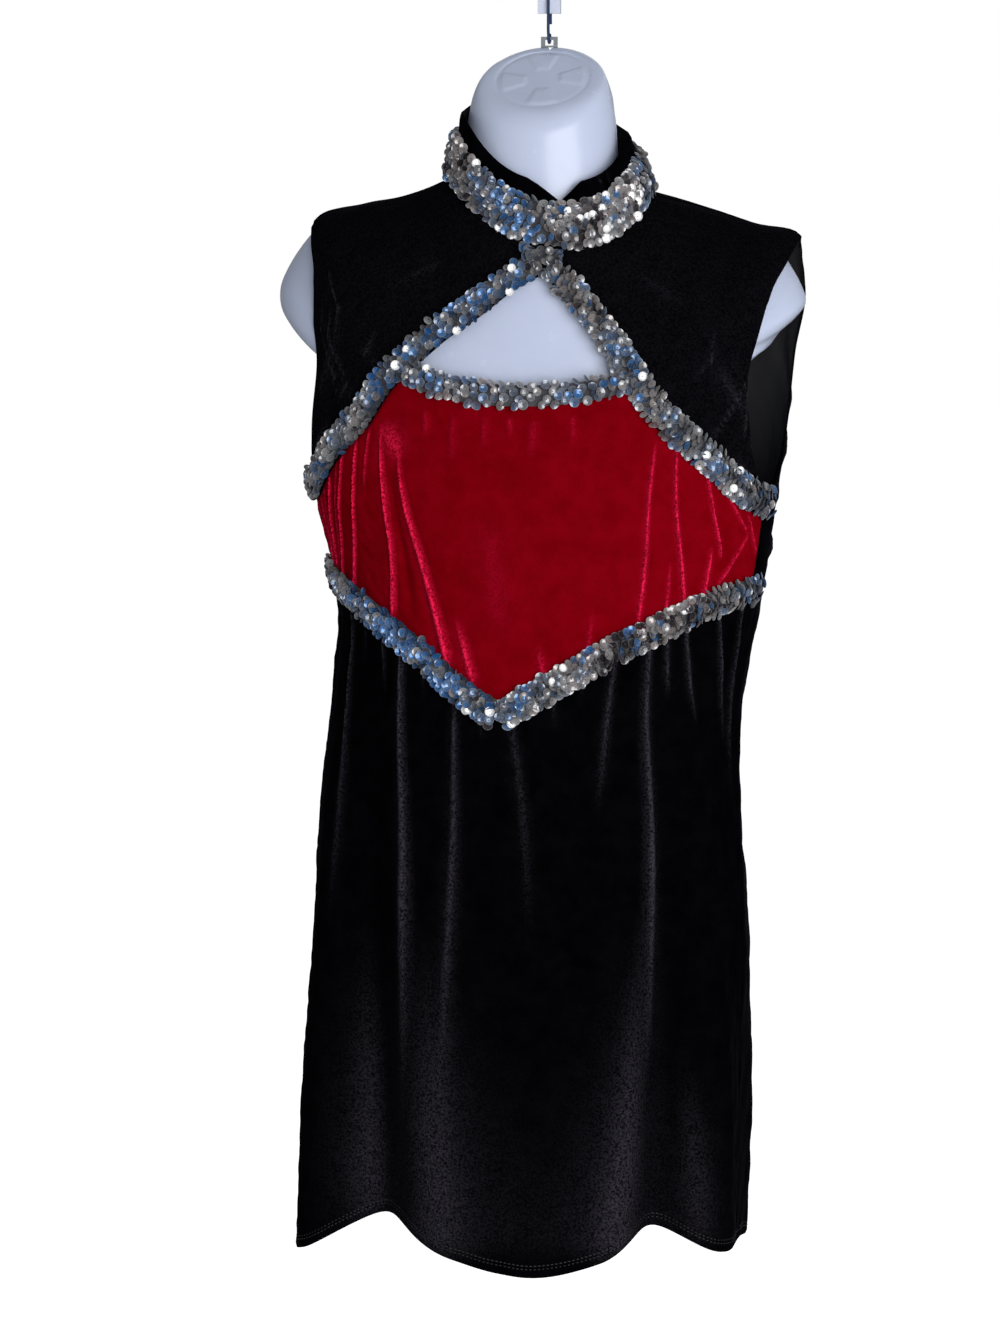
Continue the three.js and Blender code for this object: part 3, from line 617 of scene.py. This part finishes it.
def maths(tree, operation, first, second):
    node = tree.nodes.new("ShaderNodeMath")
    node.operation = operation
    for socket, value in zip(node.inputs, (first, second)):
        if isinstance(value, float):
            socket.default_value = value
        else:
            tree.links.new(value, socket)
    return node.outputs[0]


def mapped(tree, value, low, high, to_low, to_high):
    node = setup(tree.nodes.new("ShaderNodeMapRange"), From_Min=low, From_Max=high, To_Min=to_low, To_Max=to_high)
    tree.links.new(value, node.inputs["Value"])
    return node.outputs["Result"]


def mixed(tree, factor, first, second):
    node = tree.nodes.new("ShaderNodeMix")
    node.data_type = "RGBA"
    tree.links.new(factor, node.inputs["Factor"])
    for socket, value in ((node.inputs[6], first), (node.inputs[7], second)):
        if isinstance(value, tuple):
            socket.default_value = (*value, 1)
        else:
            tree.links.new(value, socket)
    return node.outputs[2]


def bump(tree, shader, height, strength, distance):
    node = setup(tree.nodes.new("ShaderNodeBump"), Strength=strength, Distance=distance)
    tree.links.new(height, node.inputs["Height"])
    tree.links.new(node.outputs["Normal"], shader.inputs["Normal"])


def velvet(name, deep, lit, painted_highlight, sheen, sheen_tint):
    """deep and lit: the pile at rest, mixed at random. The third colour is a painted sheen, mixed in along the creases
    and grained.
    """
    material, tree, shader = node_material(name)
    grain = noise(tree, 560, 2, 0.8)
    crush = noise(tree, 60, 3, 0.6)
    speckle = mapped(tree, grain, 0.4, 0.6, 0.1, 1.6)
    # Painted sheen: the grained crease attribute lightens the colour towards the third colour.
    ridge = maths(tree, "MULTIPLY", attribute(tree, "painted_sheen"), speckle)
    body = mixed(tree, mapped(tree, crush, 0.35, 0.65, 0, 1), deep, lit)
    tree.links.new(mixed(tree, ridge, body, painted_highlight), shader.inputs["Base Color"])
    setup(shader, Roughness=0.8, Specular_IOR_Level=0, Sheen_Weight=sheen, Sheen_Roughness=0.3,
          Sheen_Tint=(*sheen_tint, 1))
    bump(tree, shader, maths(tree, "ADD", grain, maths(tree, "MULTIPLY", crush, 0.7)), 0.35, 0.0006)
    return material


def plain(name, base, roughness, metallic=0, speck=0.05, scale=400, coat=0, bumpy=0.02):
    material, tree, shader = node_material(name)
    grain = noise(tree, scale, 3, 0.6)
    darker = tuple(c * (1 - speck) for c in base)
    tree.links.new(mixed(tree, mapped(tree, grain, 0.3, 0.7, 0, 1), darker, base), shader.inputs["Base Color"])
    tree.links.new(mapped(tree, grain, 0.3, 0.7, roughness * 0.9, roughness * 1.1), shader.inputs["Roughness"])
    setup(shader, Metallic=metallic, IOR=1.45, Coat_Weight=coat)
    bump(tree, shader, grain, bumpy, 0.0004)
    return material


def sequin_material():
    """Cupped sequins: a painted reflection tone runs from blue over grey and beige to dark, up to painted white glints,
    and a paler painted highlight lies on their rims.
    """
    material, tree, shader = node_material("silver_sequins")
    # The ramp paints the sequins' reflections: blue, grey, beige where they stand on edge, dark, and a painted white
    # glint at the top.
    ramp = tree.nodes.new("ShaderNodeValToRGB")
    stops = [
        (0, (0.03, 0.14, 0.37)), (0.2, (0.065, 0.165, 0.35)), (0.34, (0.09, 0.125, 0.20)), (0.5, (0.14, 0.15, 0.17)),
        (0.66, (0.27, 0.27, 0.28)), (0.84, (0.31, 0.275, 0.27)), (0.93, (0.035, 0.028, 0.032)), (1, (1, 1, 1)),
    ]
    for i, (at, color) in enumerate(stops):
        stop = ramp.color_ramp.elements[i] if i < 2 else ramp.color_ramp.elements.new(at)
        stop.position, stop.color = at, (*color, 1)
    tree.links.new(attribute(tree, "painted_reflection"), ramp.inputs["Fac"])
    # Painted highlight: each disc is paler towards its rim.
    edge = mapped(tree, attribute(tree, "painted_rim_highlight"), 0.45, 1, 0, 0.55)
    tree.links.new(mixed(tree, edge, ramp.outputs["Color"], (0.42, 0.42, 0.44)), shader.inputs["Base Color"])
    grain = noise(tree, 900, 2, 0.6)
    tree.links.new(mapped(tree, grain, 0.3, 0.7, 0.16, 0.34), shader.inputs["Roughness"])
    setup(shader, Metallic=0.35, Coat_Weight=0.8)
    bump(tree, shader, grain, 0.1, 0.0003)
    return material


# The third colour of each velvet is the painted sheen on its creases.
BLACK = velvet("black_velvet", (0.0007, 0.0007, 0.0011), (0.0016, 0.0016, 0.0023), (0.034, 0.031, 0.040),
               0.024, (0.5, 0.48, 0.6))
RED = velvet("red_velvet", (0.165, 0.0002, 0.003), (0.205, 0.0004, 0.005), (0.85, 0.014, 0.075),
             0.09, (0.8, 0.06, 0.2))
SEQUINS = sequin_material()
BACKING = plain("trim_backing", (0.06, 0.06, 0.07), 0.7, scale=900, bumpy=0.3)
LINING = plain("velvet_back", (0.010, 0.010, 0.012), 0.85, speck=0.4, scale=1500, bumpy=0.2)
FORM = plain("form_plastic", (0.55, 0.61, 0.78), 0.25, speck=0.03, scale=40, coat=0.1, bumpy=0.6)
STEEL = plain("fitting_steel", (0.50, 0.55, 0.58), 0.3, metallic=0.9, speck=0.2, scale=300, bumpy=0.1)
WIRE = plain("hook_wire_steel", (0.05, 0.08, 0.17), 0.35, metallic=0.6, speck=0.3, scale=300, bumpy=0.1)
WHITE = plain("hook_plastic", (0.66, 0.70, 0.84), 0.4, speck=0.03, scale=60)
THREAD = plain("stitching", (0.012, 0.011, 0.014), 0.6, speck=0.3, scale=2000, bumpy=0.2)


# ---------- velvet panels ----------
YOKE_TURN = {"level": -334, "angle": 21}  # rows lie at even levels above it and at even steps of the seam below


def yoke_places(sign):
    high, low = NECK, YOKE_TURN["level"]
    levels = (edged(40, length=high - low) * (low - high) + high)[:-3]
    rows = [(level, 0.0 if level > diagonal_level(0) else diagonal_angle(level, sign)) for level in levels]
    rows += [(float(diagonal_level(sign * seam)), seam) for seam in np.arange(YOKE_TURN["angle"], 78.7, 1.2)]
    shares = edged(130, length=200)
    angle, level = [], []
    for row_level, seam in rows:
        edge = SHOULDER_SEAM if row_level > STRAP_END else float(armhole_front(row_level))
        if row_level < ARMHOLE_BOTTOM:
            edge = SIDE_SEAM
        low, high = seam + SLIT, edge - SLIT
        angle.append(sign * (low + (high - low) * shares))
        level.append(row_level + 0 * shares)
    return np.array(angle), np.array(level)


def front_places(top_level, bottom_level, columns, rows):
    angles = (edged(columns, length=490) * 2 - 1) * (SIDE_SEAM - SLIT)
    shares = edged(rows, length=float(top_level(0.0) - bottom_level(0.0)))
    top = top_level(angles) - 0.15
    bottom = bottom_level(angles) + 0.15
    level = top + (bottom - top) * shares[:, None]
    return angles + 0 * level, level


def bust_top(angle):
    keyhole = bar_level(angle) + BAR_WIDTH / 2 - 1
    diagonal = diagonal_level(angle)
    return np.where(np.abs(angle) <= BAR["reach"], np.minimum(keyhole, diagonal), diagonal)


def back_places(sign):
    shares = edged(66, length=300)
    angle, level = [], []
    upper = np.concatenate([
        [NECK, NECK - 0.8, NECK - 1.8, NECK - 3.2], np.linspace(-256, -310, 16), np.linspace(STRAP_END, -440, 40)])
    for row_level in upper:
        edge = SHOULDER_SEAM if row_level >= STRAP_END else float(armhole_back(row_level))
        angle.append(sign * (edge + SLIT + (180 - edge - 2 * SLIT) * shares))
        level.append(row_level + 0 * shares)
    lower = sign * (SIDE_SEAM + SLIT + (180 - SIDE_SEAM - 2 * SLIT) * shares)
    down = edged(134, length=600)
    for share in down[down > 0.004]:
        angle.append(lower)
        level.append(ARMHOLE_BOTTOM + (hem_level(lower) - ARMHOLE_BOTTOM) * share)
    return np.array(angle), np.array(level)


def collar_places():
    half = np.concatenate([np.linspace(0, 20, 21), np.linspace(22, 178, 79), [180 - SLIT]])
    angles = np.concatenate([-half[:0:-1], half])
    angles = angles + NOTCH["at"] * (1 + np.cos(np.radians(angles))) / 2
    bottom = NECK + COLLAR_GAP
    cut = np.clip(1 - np.abs(angles - NOTCH["at"]) / NOTCH["reach"], 0, None)
    top = COLLAR_TOP - NOTCH["depth"] * cut ** 1.15 + 0.8 * np.sin(np.radians(angles * 5)) * (1 - cut)
    shares = edged(14, (0.0, 0.7, 1.6), 51)
    level = bottom + (top - bottom) * shares[:, None]
    return angles + 0 * level, level


for side, sign in (("left", -1), ("right", 1)):
    # The yokes get a little painted sheen all over.
    cloth(
        f"yoke_velvet_{side}", f"yoke_{side}", yoke_places(sign), YOKE_CREASES, BLACK, 0.5, 3 + sign, painted_sheen=0.06)
    cloth(
        f"back_velvet_{side}", f"back_{side}", back_places(sign), BACK_CREASES, BLACK, 0.7, 13 + sign, hemmed=True)
places = front_places(bust_top, vee_level, 420, 62)
cloth("bust_velvet", "bust_panel", places, BUST_CREASES, RED, 0.25, 21)
places = front_places(vee_level, hem_level, 290, 150)
cloth("skirt_velvet", "skirt_front", places, SKIRT_CREASES, BLACK, 0.5, 31, hemmed=True)
cloth("collar_velvet", "collar", collar_places(), COLLAR_CREASES, BLACK, 0.3, 41, collar_form)


# ---------- sequin trims ----------
def aside(angle, level, ahead_angle, ahead_level, distance):
    """Places on the dress moved square to the way ahead, by distances along the surface."""
    here = dress_surface(angle, level)
    per_angle = dress_surface(angle + 1, level) - here
    per_level = dress_surface(angle, level + 1) - here
    along = unit(dress_surface(ahead_angle, ahead_level) - here)
    across = np.cross(unit(np.cross(per_angle, per_level)), along) * np.asarray(distance)[..., None]
    aa, al, ll = ((p * q).sum(-1) for p, q in ((per_angle, per_angle), (per_angle, per_level), (per_level, per_level)))
    a, l = (across * per_angle).sum(-1), (across * per_level).sum(-1)
    whole = aa * ll - al * al
    return angle + (a * ll - l * al) / whole, level + (l * aa - a * al) / whole


def even_angles(level_at, start, end, step):
    """Angles evenly spaced along a line on the dress, step mm apart."""
    fine = np.linspace(start, end, 1500)
    points = dress_surface(fine, level_at(fine))
    walked = np.concatenate([[0], np.cumsum(np.linalg.norm(np.diff(points, axis=0), axis=-1))])
    count = max(2, round(walked[-1] / step) + 1)
    return np.interp(np.linspace(0, walked[-1], count), walked, fine)


def band_places(level_at, sign, step, distances):
    """Angles and levels of a band along a seam, distances mm above it, rows along and columns across."""
    angles = sign * even_angles(lambda a: level_at(sign * a), 0.6, SIDE_SEAM + 3, step)
    a = angles[:, None] + 0 * distances
    ahead = a + sign * 0.5
    angle, level = aside(a, level_at(a), ahead, level_at(ahead), sign * distances)
    return sign * np.maximum(sign * angle, 2 * SLIT), level


def trim(name, node, surface, angle, level):
    """The stretch backing of a sequin band."""
    across = np.linspace(0, 1, angle.shape[1])
    swell = 0.2 + 0.5 * np.sin(np.pi * across) ** 0.7
    outer = moved(surface, angle, level, 0.95 + swell + 0 * angle)
    inner = moved(surface, angle, level, 0.6 + 0 * angle)
    made = shell(name, outer, inner, BACKING)
    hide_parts(node)
    return made


UNDER_COLLAR = {"level": NECK - 1.8, "reach": 8}  # where the diagonal bands start


def from_collar(angle, level, sign, step, inset):
    """Puts rows before a band's first one, on its way from under the collar. inset: share of the width left free."""
    shares = np.linspace(inset, 1 - inset, angle.shape[1])
    start = sign * (2 * SLIT + (UNDER_COLLAR["reach"] - 2 * SLIT) * shares)
    on = np.linspace(0, 1, round(19 / step), endpoint=False)[:, None]
    more_angle = start + (angle[0] - start) * on
    more_level = UNDER_COLLAR["level"] + (level[0] - UNDER_COLLAR["level"]) * on
    return np.concatenate([more_angle, angle]), np.concatenate([more_level, level])


GLINT_FACES = np.array([0.357, -0.929, 0.107])  # the way the brightest sequins face
SEQUIN = {"radius": 3.85, "cup": 0.95, "hole": 0.5, "sides": 12}


def sequin_mesh(name, centres, normals, alongs, leans, crosses, painted_reflections, seed):
    """Cup sequins joined in one mesh. Each one's lean along and across its band is in radians."""
    random = np.random.default_rng(seed)
    count, sides = len(centres), SEQUIN["sides"]
    across = np.cross(normals, alongs)
    up = unit(normals * np.cos(leans)[:, None] + alongs * np.sin(leans)[:, None] + across * np.tan(crosses)[:, None])
    # Sequins with painted white glints are also turned towards the key light.
    up = np.where((painted_reflections == 1)[:, None], unit(GLINT_FACES + 0.12 * up), up)
    first = unit(np.cross(up, across))
    second = np.cross(up, first)
    size = SEQUIN["radius"] * random.uniform(0.84, 1.06, count)
    turn = random.uniform(0, math.pi, count)
    cup, hole = SEQUIN["cup"], SEQUIN["hole"] / SEQUIN["radius"]
    # The last number of each ring: how much painted rim highlight it gets.
    rings = [(1, cup, 1), (0.8, 0.55 * cup, 0.5), (0.5, 0.16 * cup, 0.15), (hole, 0, 0)]
    points, painted_rim_highlights = [], []
    for share, rise, painted_rim_highlight in rings:
        for k in range(sides):
            spin = turn + 2 * math.pi * k / sides
            ring = (first * np.cos(spin)[:, None] + second * np.sin(spin)[:, None]) * (size * share)[:, None]
            points.append(centres + ring + up * rise)
            painted_rim_highlights.append(np.full(count, painted_rim_highlight))
    points, painted_rim_highlights = np.stack(points, 1), np.stack(painted_rim_highlights, 1)
    faces = []
    for start in range(0, sides * (len(rings) - 1), sides):
        for k in range(sides):
            n = (k + 1) % sides
            faces.append([start + k, start + n, start + sides + n, start + sides + k])
    every = (np.array(faces)[None] + (np.arange(count) * sides * len(rings))[:, None, None]).reshape(-1, 4)
    painted_reflection = np.repeat(painted_reflections, sides * len(rings))
    made = make_object(name, metres(points.reshape(-1, 3)), every, SEQUINS, [("painted_reflection", painted_reflection), ("painted_rim_highlight", painted_rim_highlights.ravel())], 0)
    return made


def sequins_on(name, surface, angle, level, seed, zones, lift):
    """Sequins at a grid of places, rows along the band, every other column half a step on.

    zones: rows of share along the band, lean in radians, painted reflection tone and share of painted white glints
    there."""
    random = np.random.default_rng(seed)
    points = surface(angle, level)
    normals = normals_of(surface, angle, level)
    along = unit(np.gradient(points, axis=0))
    step = np.linalg.norm(np.gradient(points, axis=0), axis=-1)
    columns = angle.shape[1]
    share, half = np.linspace(0, 1, columns), 0.5 * (np.arange(columns) % 2)
    across = np.cross(normals, along)
    walked = np.cumsum(step, axis=0)
    place = walked / walked[-1:]
    zone_at, zone_lean, zone_painted_reflection, zone_glint = zones.T
    patch = np.sin(walked / 6.1 + share * 5 + seed) + np.sin(walked / 10.3 - share * 3 + seed * 1.7)
    lean = np.interp(place, zone_at, zone_lean) + 0.2 * patch + random.normal(0, 0.34, angle.shape)
    # Painted reflection tone by zone and at random, and painted white glints at the ramp's top where the zone asks for
    # them.
    painted_reflection = np.interp(place, zone_at, zone_painted_reflection) + 0.12 * patch + random.normal(0, 0.1, angle.shape)
    painted_reflection = np.where(random.random(angle.shape) < 0.3, random.uniform(0, 0.93, angle.shape), np.clip(painted_reflection, 0, 0.93))
    painted_reflection = np.where(random.random(angle.shape) < np.interp(place, zone_at, zone_glint), 1.0, painted_reflection)
    lean = np.clip(lean, -1.1, 1.25)
    cross = np.clip((share - 0.5) * 0.9 + random.normal(0, 0.24, angle.shape), -0.7, 0.7)
    rise = lift + np.sin(np.pi * share) ** 0.8 + 1.6 * np.sin(lean) ** 2
    centres = points + normals * (rise + random.uniform(-0.6, 0.9, angle.shape))[..., None]
    centres += along * (step * half + random.normal(0, 0.85, angle.shape))[..., None]
    centres += across * random.normal(0, 0.75, angle.shape)[..., None]
    grids = (centres, normals, along, lean, cross, painted_reflection)
    return sequin_mesh(name, *(grid.reshape(-1, *grid.shape[2:]) for grid in grids), seed + 100)


# Share along each band from the centre or left end, lean, painted reflection tone and share of painted white glints of
# the sequins there.
ZONES = {
    "diagonal_left": "0 0.7 0.6 0, 0.1 0.35 0.3 0.04, 0.3 0.3 0.28 0.02, 0.45 0.35 0.42 0.01, 0.55 0.3 0.2 0.01, "
    "0.62 -0.7 0.78 0, 0.72 -0.3 0.4 0, 0.78 -0.7 0.78 0, 0.84 -0.5 0.45 0, 0.9 -0.8 0.8 0, 1 -0.9 0.82 0",
    "diagonal_right": "0 0.8 0.7 0, 0.18 0.8 0.78 0.04, 0.3 0.6 0.55 0, 0.42 0.5 0.3 0.02, 0.5 0.7 0.7 0.02, "
    "0.62 0.5 0.5 0.03, 0.7 0.45 0.55 0.1, 0.84 0.3 0.5 0.12, 0.9 0.4 0.5 0.02, 1 0.5 0.42 0",
    "vee_left": "0 0.2 0.4 0.12, 0.12 0.2 0.2 0.03, 0.3 0.1 0.12 0.01, 0.5 0 0.04 0.01, 0.68 -0.2 0.08 0.01, "
    "0.74 -0.5 0.6 0, 0.82 -0.7 0.8 0, 1 -0.8 0.82 0",
    "vee_right": "0 0.3 0.45 0.12, 0.1 0.4 0.35 0.02, 0.28 0.6 0.65 0.01, 0.4 0.6 0.93 0, 0.55 0.6 0.93 0.01, "
    "0.72 0.5 0.93 0.02, 0.84 0.5 0.7 0.01, 1 0.5 0.3 0",
    "bar": "0 0.7 0.6 0, 0.14 0.45 0.25 0.02, 0.3 0.55 0.6 0.02, 0.45 0.4 0.55 0.04, 0.6 0.5 0.5 0.02, "
    "0.72 0.35 0.5 0.06, 0.85 0.4 0.3 0.02, 1 0.6 0.6 0",
    "collar": "0 0.6 0.5 0, 0.12 0.9 0.7 0, 0.2 1.1 0.76 0, 0.36 1.05 0.78 0.01, 0.4 0.7 0.45 0.02, "
    "0.44 0.35 0.18 0.04, 0.5 0.5 0.24 0.03, 0.535 0.5 0.8 0.03, 0.57 0.4 0.9 0.03, 0.6 0.15 0.8 0.06, "
    "0.63 -0.1 0.74 0.22, 0.69 -0.2 0.72 0.2, 0.73 0 0.5 0.03, 0.8 0.6 0.5 0, 1 0.6 0.5 0",
}
STEP, BACKING_STEP = 4.9, 3  # mm between rows of sequins, and of the backing's grid


def spread(width, inset, count):
    """Distances across a band of that width, from its middle line."""
    return np.linspace(inset - width / 2, width / 2 - inset, count)


bands, sequins = {}, {}


def add_band(key, backing, places, seed, surface=dress_surface, lift=2.0):
    """A band's backing and sequins, each over its own grid of angles and levels. key: the band's kind and side."""
    kind, *side = key.split("_")
    band, node, shown = ("_".join([kind, part, *side]) for part in ("band", "trim", "sequins"))
    bands[key] = trim(band, node, surface, *backing)
    sequins[key] = sequins_on(shown, surface, *places, seed, numbers(ZONES[key], ","), lift)


for side, sign in (("left", -1), ("right", 1)):
    backing = band_places(diagonal_level, sign, BACKING_STEP, TRIM_WIDTH / 2 + spread(TRIM_WIDTH, 1.5, 7))
    places = band_places(diagonal_level, sign, STEP, np.linspace(0.6, 18.8, 5))
    add_band(f"diagonal_{side}", from_collar(*backing, sign, BACKING_STEP, 0.08),
             from_collar(*places, sign, STEP, 0.1), 5 + sign)
    backing = band_places(vee_level, sign, BACKING_STEP, spread(TRIM_WIDTH, 1.5, 7))
    places = band_places(vee_level, sign, STEP, spread(TRIM_WIDTH, 1.4, 5))
    add_band(f"vee_{side}", backing, places, 9 + sign, lift=2.6 if sign > 0 else 2.0)


def bar_places(step, distances):
    low = np.array([-diagonal_angle(bar_level(-19) + d, -1) for d in distances])
    high = np.array([diagonal_angle(bar_level(19) + d, 1) for d in distances])
    angle = low + (high - low) * np.linspace(0, 1, round(110 / step) + 1)[:, None]
    return angle, bar_level(angle) + distances


def collar_band_places(step, levels):
    angles = np.linspace(-180 + SLIT, 180 - SLIT, round(430 / step))
    return np.meshgrid(angles, levels, indexing="ij")


add_band("bar", bar_places(BACKING_STEP, spread(BAR_WIDTH, 1.5, 7)), bar_places(STEP, spread(BAR_WIDTH, 2.2, 4)), 17)
add_band("collar", collar_band_places(BACKING_STEP, np.linspace(-246.2, -213.6, 9)),
         collar_band_places(STEP, np.linspace(-245.4, -214.2, 7)), 23, collar_form)

# ---------- stitching ----------
stitches = {
    "skirt": hem_stitches("hem_stitches_front", SKIRT_CREASES, 0.5, 31, -SIDE_SEAM + 0.4, SIDE_SEAM - 0.4),
    "back_left": hem_stitches("hem_stitches_back_left", BACK_CREASES, 0.7, 12, -179.6, -SIDE_SEAM - 0.4),
    "back_right": hem_stitches("hem_stitches_back_right", BACK_CREASES, 0.7, 14, SIDE_SEAM + 0.4, 179.6),
}

# ---------- torso form ----------
# The form is drawn in by depth mm under each shoulder, where x is the distance from the middle.
TUCK = {"x": 166, "wide": 26, "level": -230, "high": 18, "depth": 3.4}
LIP = ((0.9, -371, 3.5), (-0.8, -360, 5))  # height, level and half width of the ridge and groove on the right stub
CAP = {"x": 1, "y": 8, "z": -118.8, "across": 38, "deep": 40, "tilt": 34, "land": 1.2, "anchor": 0.85}


def on_cap(across, deep):
    tilt = math.radians(CAP["tilt"])
    across, deep = CAP["across"] * np.asarray(across, float), CAP["deep"] * np.asarray(deep, float)
    return np.stack([CAP["x"] + across, CAP["y"] + deep * math.cos(tilt), CAP["z"] + deep * math.sin(tilt)], -1)


def cap_rows(sides, neck, below):
    """The form's top, from the neck's highest row on: a round rim, then the oval with its faint raised wedges."""
    turns = np.radians(sides * 179.9)
    edge, middle, anchor = on_cap(np.sin(turns), -np.cos(turns)), on_cap(0, 0), on_cap(0, CAP["anchor"])
    third = np.linalg.norm(edge - neck, axis=-1, keepdims=True) / 3
    leaving = neck + unit(neck - below) * third
    landing = edge - unit(middle - edge) * third * CAP["land"]
    rows = []
    for t in np.linspace(0, 1, 22)[1:]:
        u = 1 - t
        rows.append(u**3 * neck + 3 * u * u * t * leaving + 3 * u * t * t * landing + t**3 * edge)
    tilt = math.radians(CAP["tilt"])
    up = np.array([0, -math.sin(tilt), math.cos(tilt)])
    for share in np.linspace(0, 1, 40)[1:-1]:
        row = edge + (anchor - edge) * share
        across = (row[:, 0] - CAP["x"]) / CAP["across"]
        deep = (row[:, 1] - CAP["y"]) / (CAP["deep"] * math.cos(tilt))
        out, turn = np.hypot(across, deep), np.arctan2(deep, across)
        wedge = smooth((np.cos(4 * turn - 0.5) + 0.15) / 0.5) * smooth((out - 0.3) / 0.12) * smooth((0.92 - out) / 0.1)
        rows.append(row + up * (0.75 * wedge - 0.4 * bell(out, 0.97, 0.05))[:, None])
    return rows


def torso():
    low, high = FORM_RINGS["level"].min(), FORM_RINGS["level"].max()
    levels = np.concatenate([np.linspace(high, -240, 30), np.linspace(-243, -420, 70), np.linspace(-425, low, 50)])
    ends = np.array([0.978, 0.987, 0.994, 1])
    sides = np.concatenate([-ends[::-1], np.linspace(-0.966, 0.966, 121), ends])
    reach = through(FORM_RINGS["level"], FORM_RINGS["reach"])
    angle = sides * np.clip(reach(levels), 0, 174)[:, None]
    wall = torso_form(angle, levels[:, None])
    below = torso_form(angle[0], high - 2)
    outer = np.concatenate([np.array(cap_rows(sides, wall[0], below))[::-1], wall])
    normal = grid_normals(outer)
    if normal[100, 60, 1] > 0:
        normal = -normal
    # A rolled bead runs along the open back's edges, and what the dress hides lies a little deeper.
    bead = 1.3 * bell(1 - np.abs(sides), 0, 0.012)
    fades = smooth((np.arange(len(outer)) - 60) / 10)
    hidden = smooth((outer[..., 2] + 330) / 30) * smooth((-190 - outer[..., 2]) / 20)
    at_rows = np.concatenate([np.full(len(outer) - len(levels), high), levels])[:, None]
    lip = sum(out * bell(at_rows, level, half) for out, level, half in LIP)
    outer = outer + normal * (lip * smooth((sides - 0.4) / 0.2))[..., None]
    tuck = bell(np.abs(outer[..., 0]), TUCK["x"], TUCK["wide"]) * bell(outer[..., 2], TUCK["level"], TUCK["high"])
    out = bead * fades[:, None] * (1 - hidden) - 0.9 * hidden - TUCK["depth"] * tuck
    outer = outer + normal * out[..., None]
    made = shell("torso_shell", outer, outer - normal * FORM_WALL, FORM, sharp=60)
    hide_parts("torso_form")


torso()

# ---------- hook ----------
for name, material in (("neck_fitting", STEEL), ("hook_wire", WIRE), ("wall_hook", WHITE)):
    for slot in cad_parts[name].material_slots:
        slot.material = material


# ---------- floor and light ----------
def seen_white(tree, lit, shown, out):
    """The camera sees the second shader, and light meets the first."""
    path = tree.nodes.new("ShaderNodeLightPath")
    either = tree.nodes.new("ShaderNodeMixShader")
    tree.links.new(path.outputs["Is Camera Ray"], either.inputs[0])
    tree.links.new(lit, either.inputs[1])
    tree.links.new(shown, either.inputs[2])
    tree.links.new(either.outputs[0], out)


def stage_floor(level, half):
    mesh = bpy.data.meshes.new("floor")
    mesh.from_pydata([(-half, -half, 0), (half, -half, 0), (half, half, 0), (-half, half, 0)], [], [(0, 1, 2, 3)])
    made = bpy.data.objects.new("floor", mesh)
    made.location.z = level
    material, tree, shader = node_material("floor")
    setup(shader, Base_Color=(0.7, 0.7, 0.7, 1), Roughness=0.9)
    pale = setup(tree.nodes.new("ShaderNodeBsdfPrincipled"), Base_Color=(0.93, 0.93, 0.93, 1), Roughness=0.9,
                 Emission_Color=(1, 1, 1, 1), Emission_Strength=0.8)
    seen_white(tree, shader.outputs[0], pale.outputs[0], tree.nodes["Material Output"].inputs[0])
    mesh.materials.append(material)
    scene.collection.objects.link(made)


stage_floor(-1.45, 15)


def area_light(name, location, target, width, height, power):
    data = bpy.data.lights.new(name, "AREA")
    data.shape, data.size, data.size_y, data.energy = "RECTANGLE", width, height, power
    aim(name, data, location, target)


area_light("key", (1.5, -2.4, -0.2), (0, 0, -0.5), 2.2, 2.2, 70)
area_light("fill", (-2, -2.2, 0.1), (0, 0, -0.5), 1.6, 2, 4)
area_light("top", (0, -0.5, 1.6), (0, 0, -0.3), 1.2, 1, 1)
area_light("behind", (0, 2, 0.8), (0, 0, -0.4), 2.5, 1.2, 6)

world = bpy.data.worlds.new("world")
world.use_nodes = True
sky = world.node_tree
room = setup(sky.nodes["Background"], Color=(0.92, 0.95, 1, 1), Strength=0.27)
backdrop = setup(sky.nodes.new("ShaderNodeBackground"), Color=(1, 1, 1, 1), Strength=1)
seen_white(sky, room.outputs[0], backdrop.outputs[0], sky.nodes["World Output"].inputs[0])
scene.world = world
scene.view_settings.view_transform = "Standard"
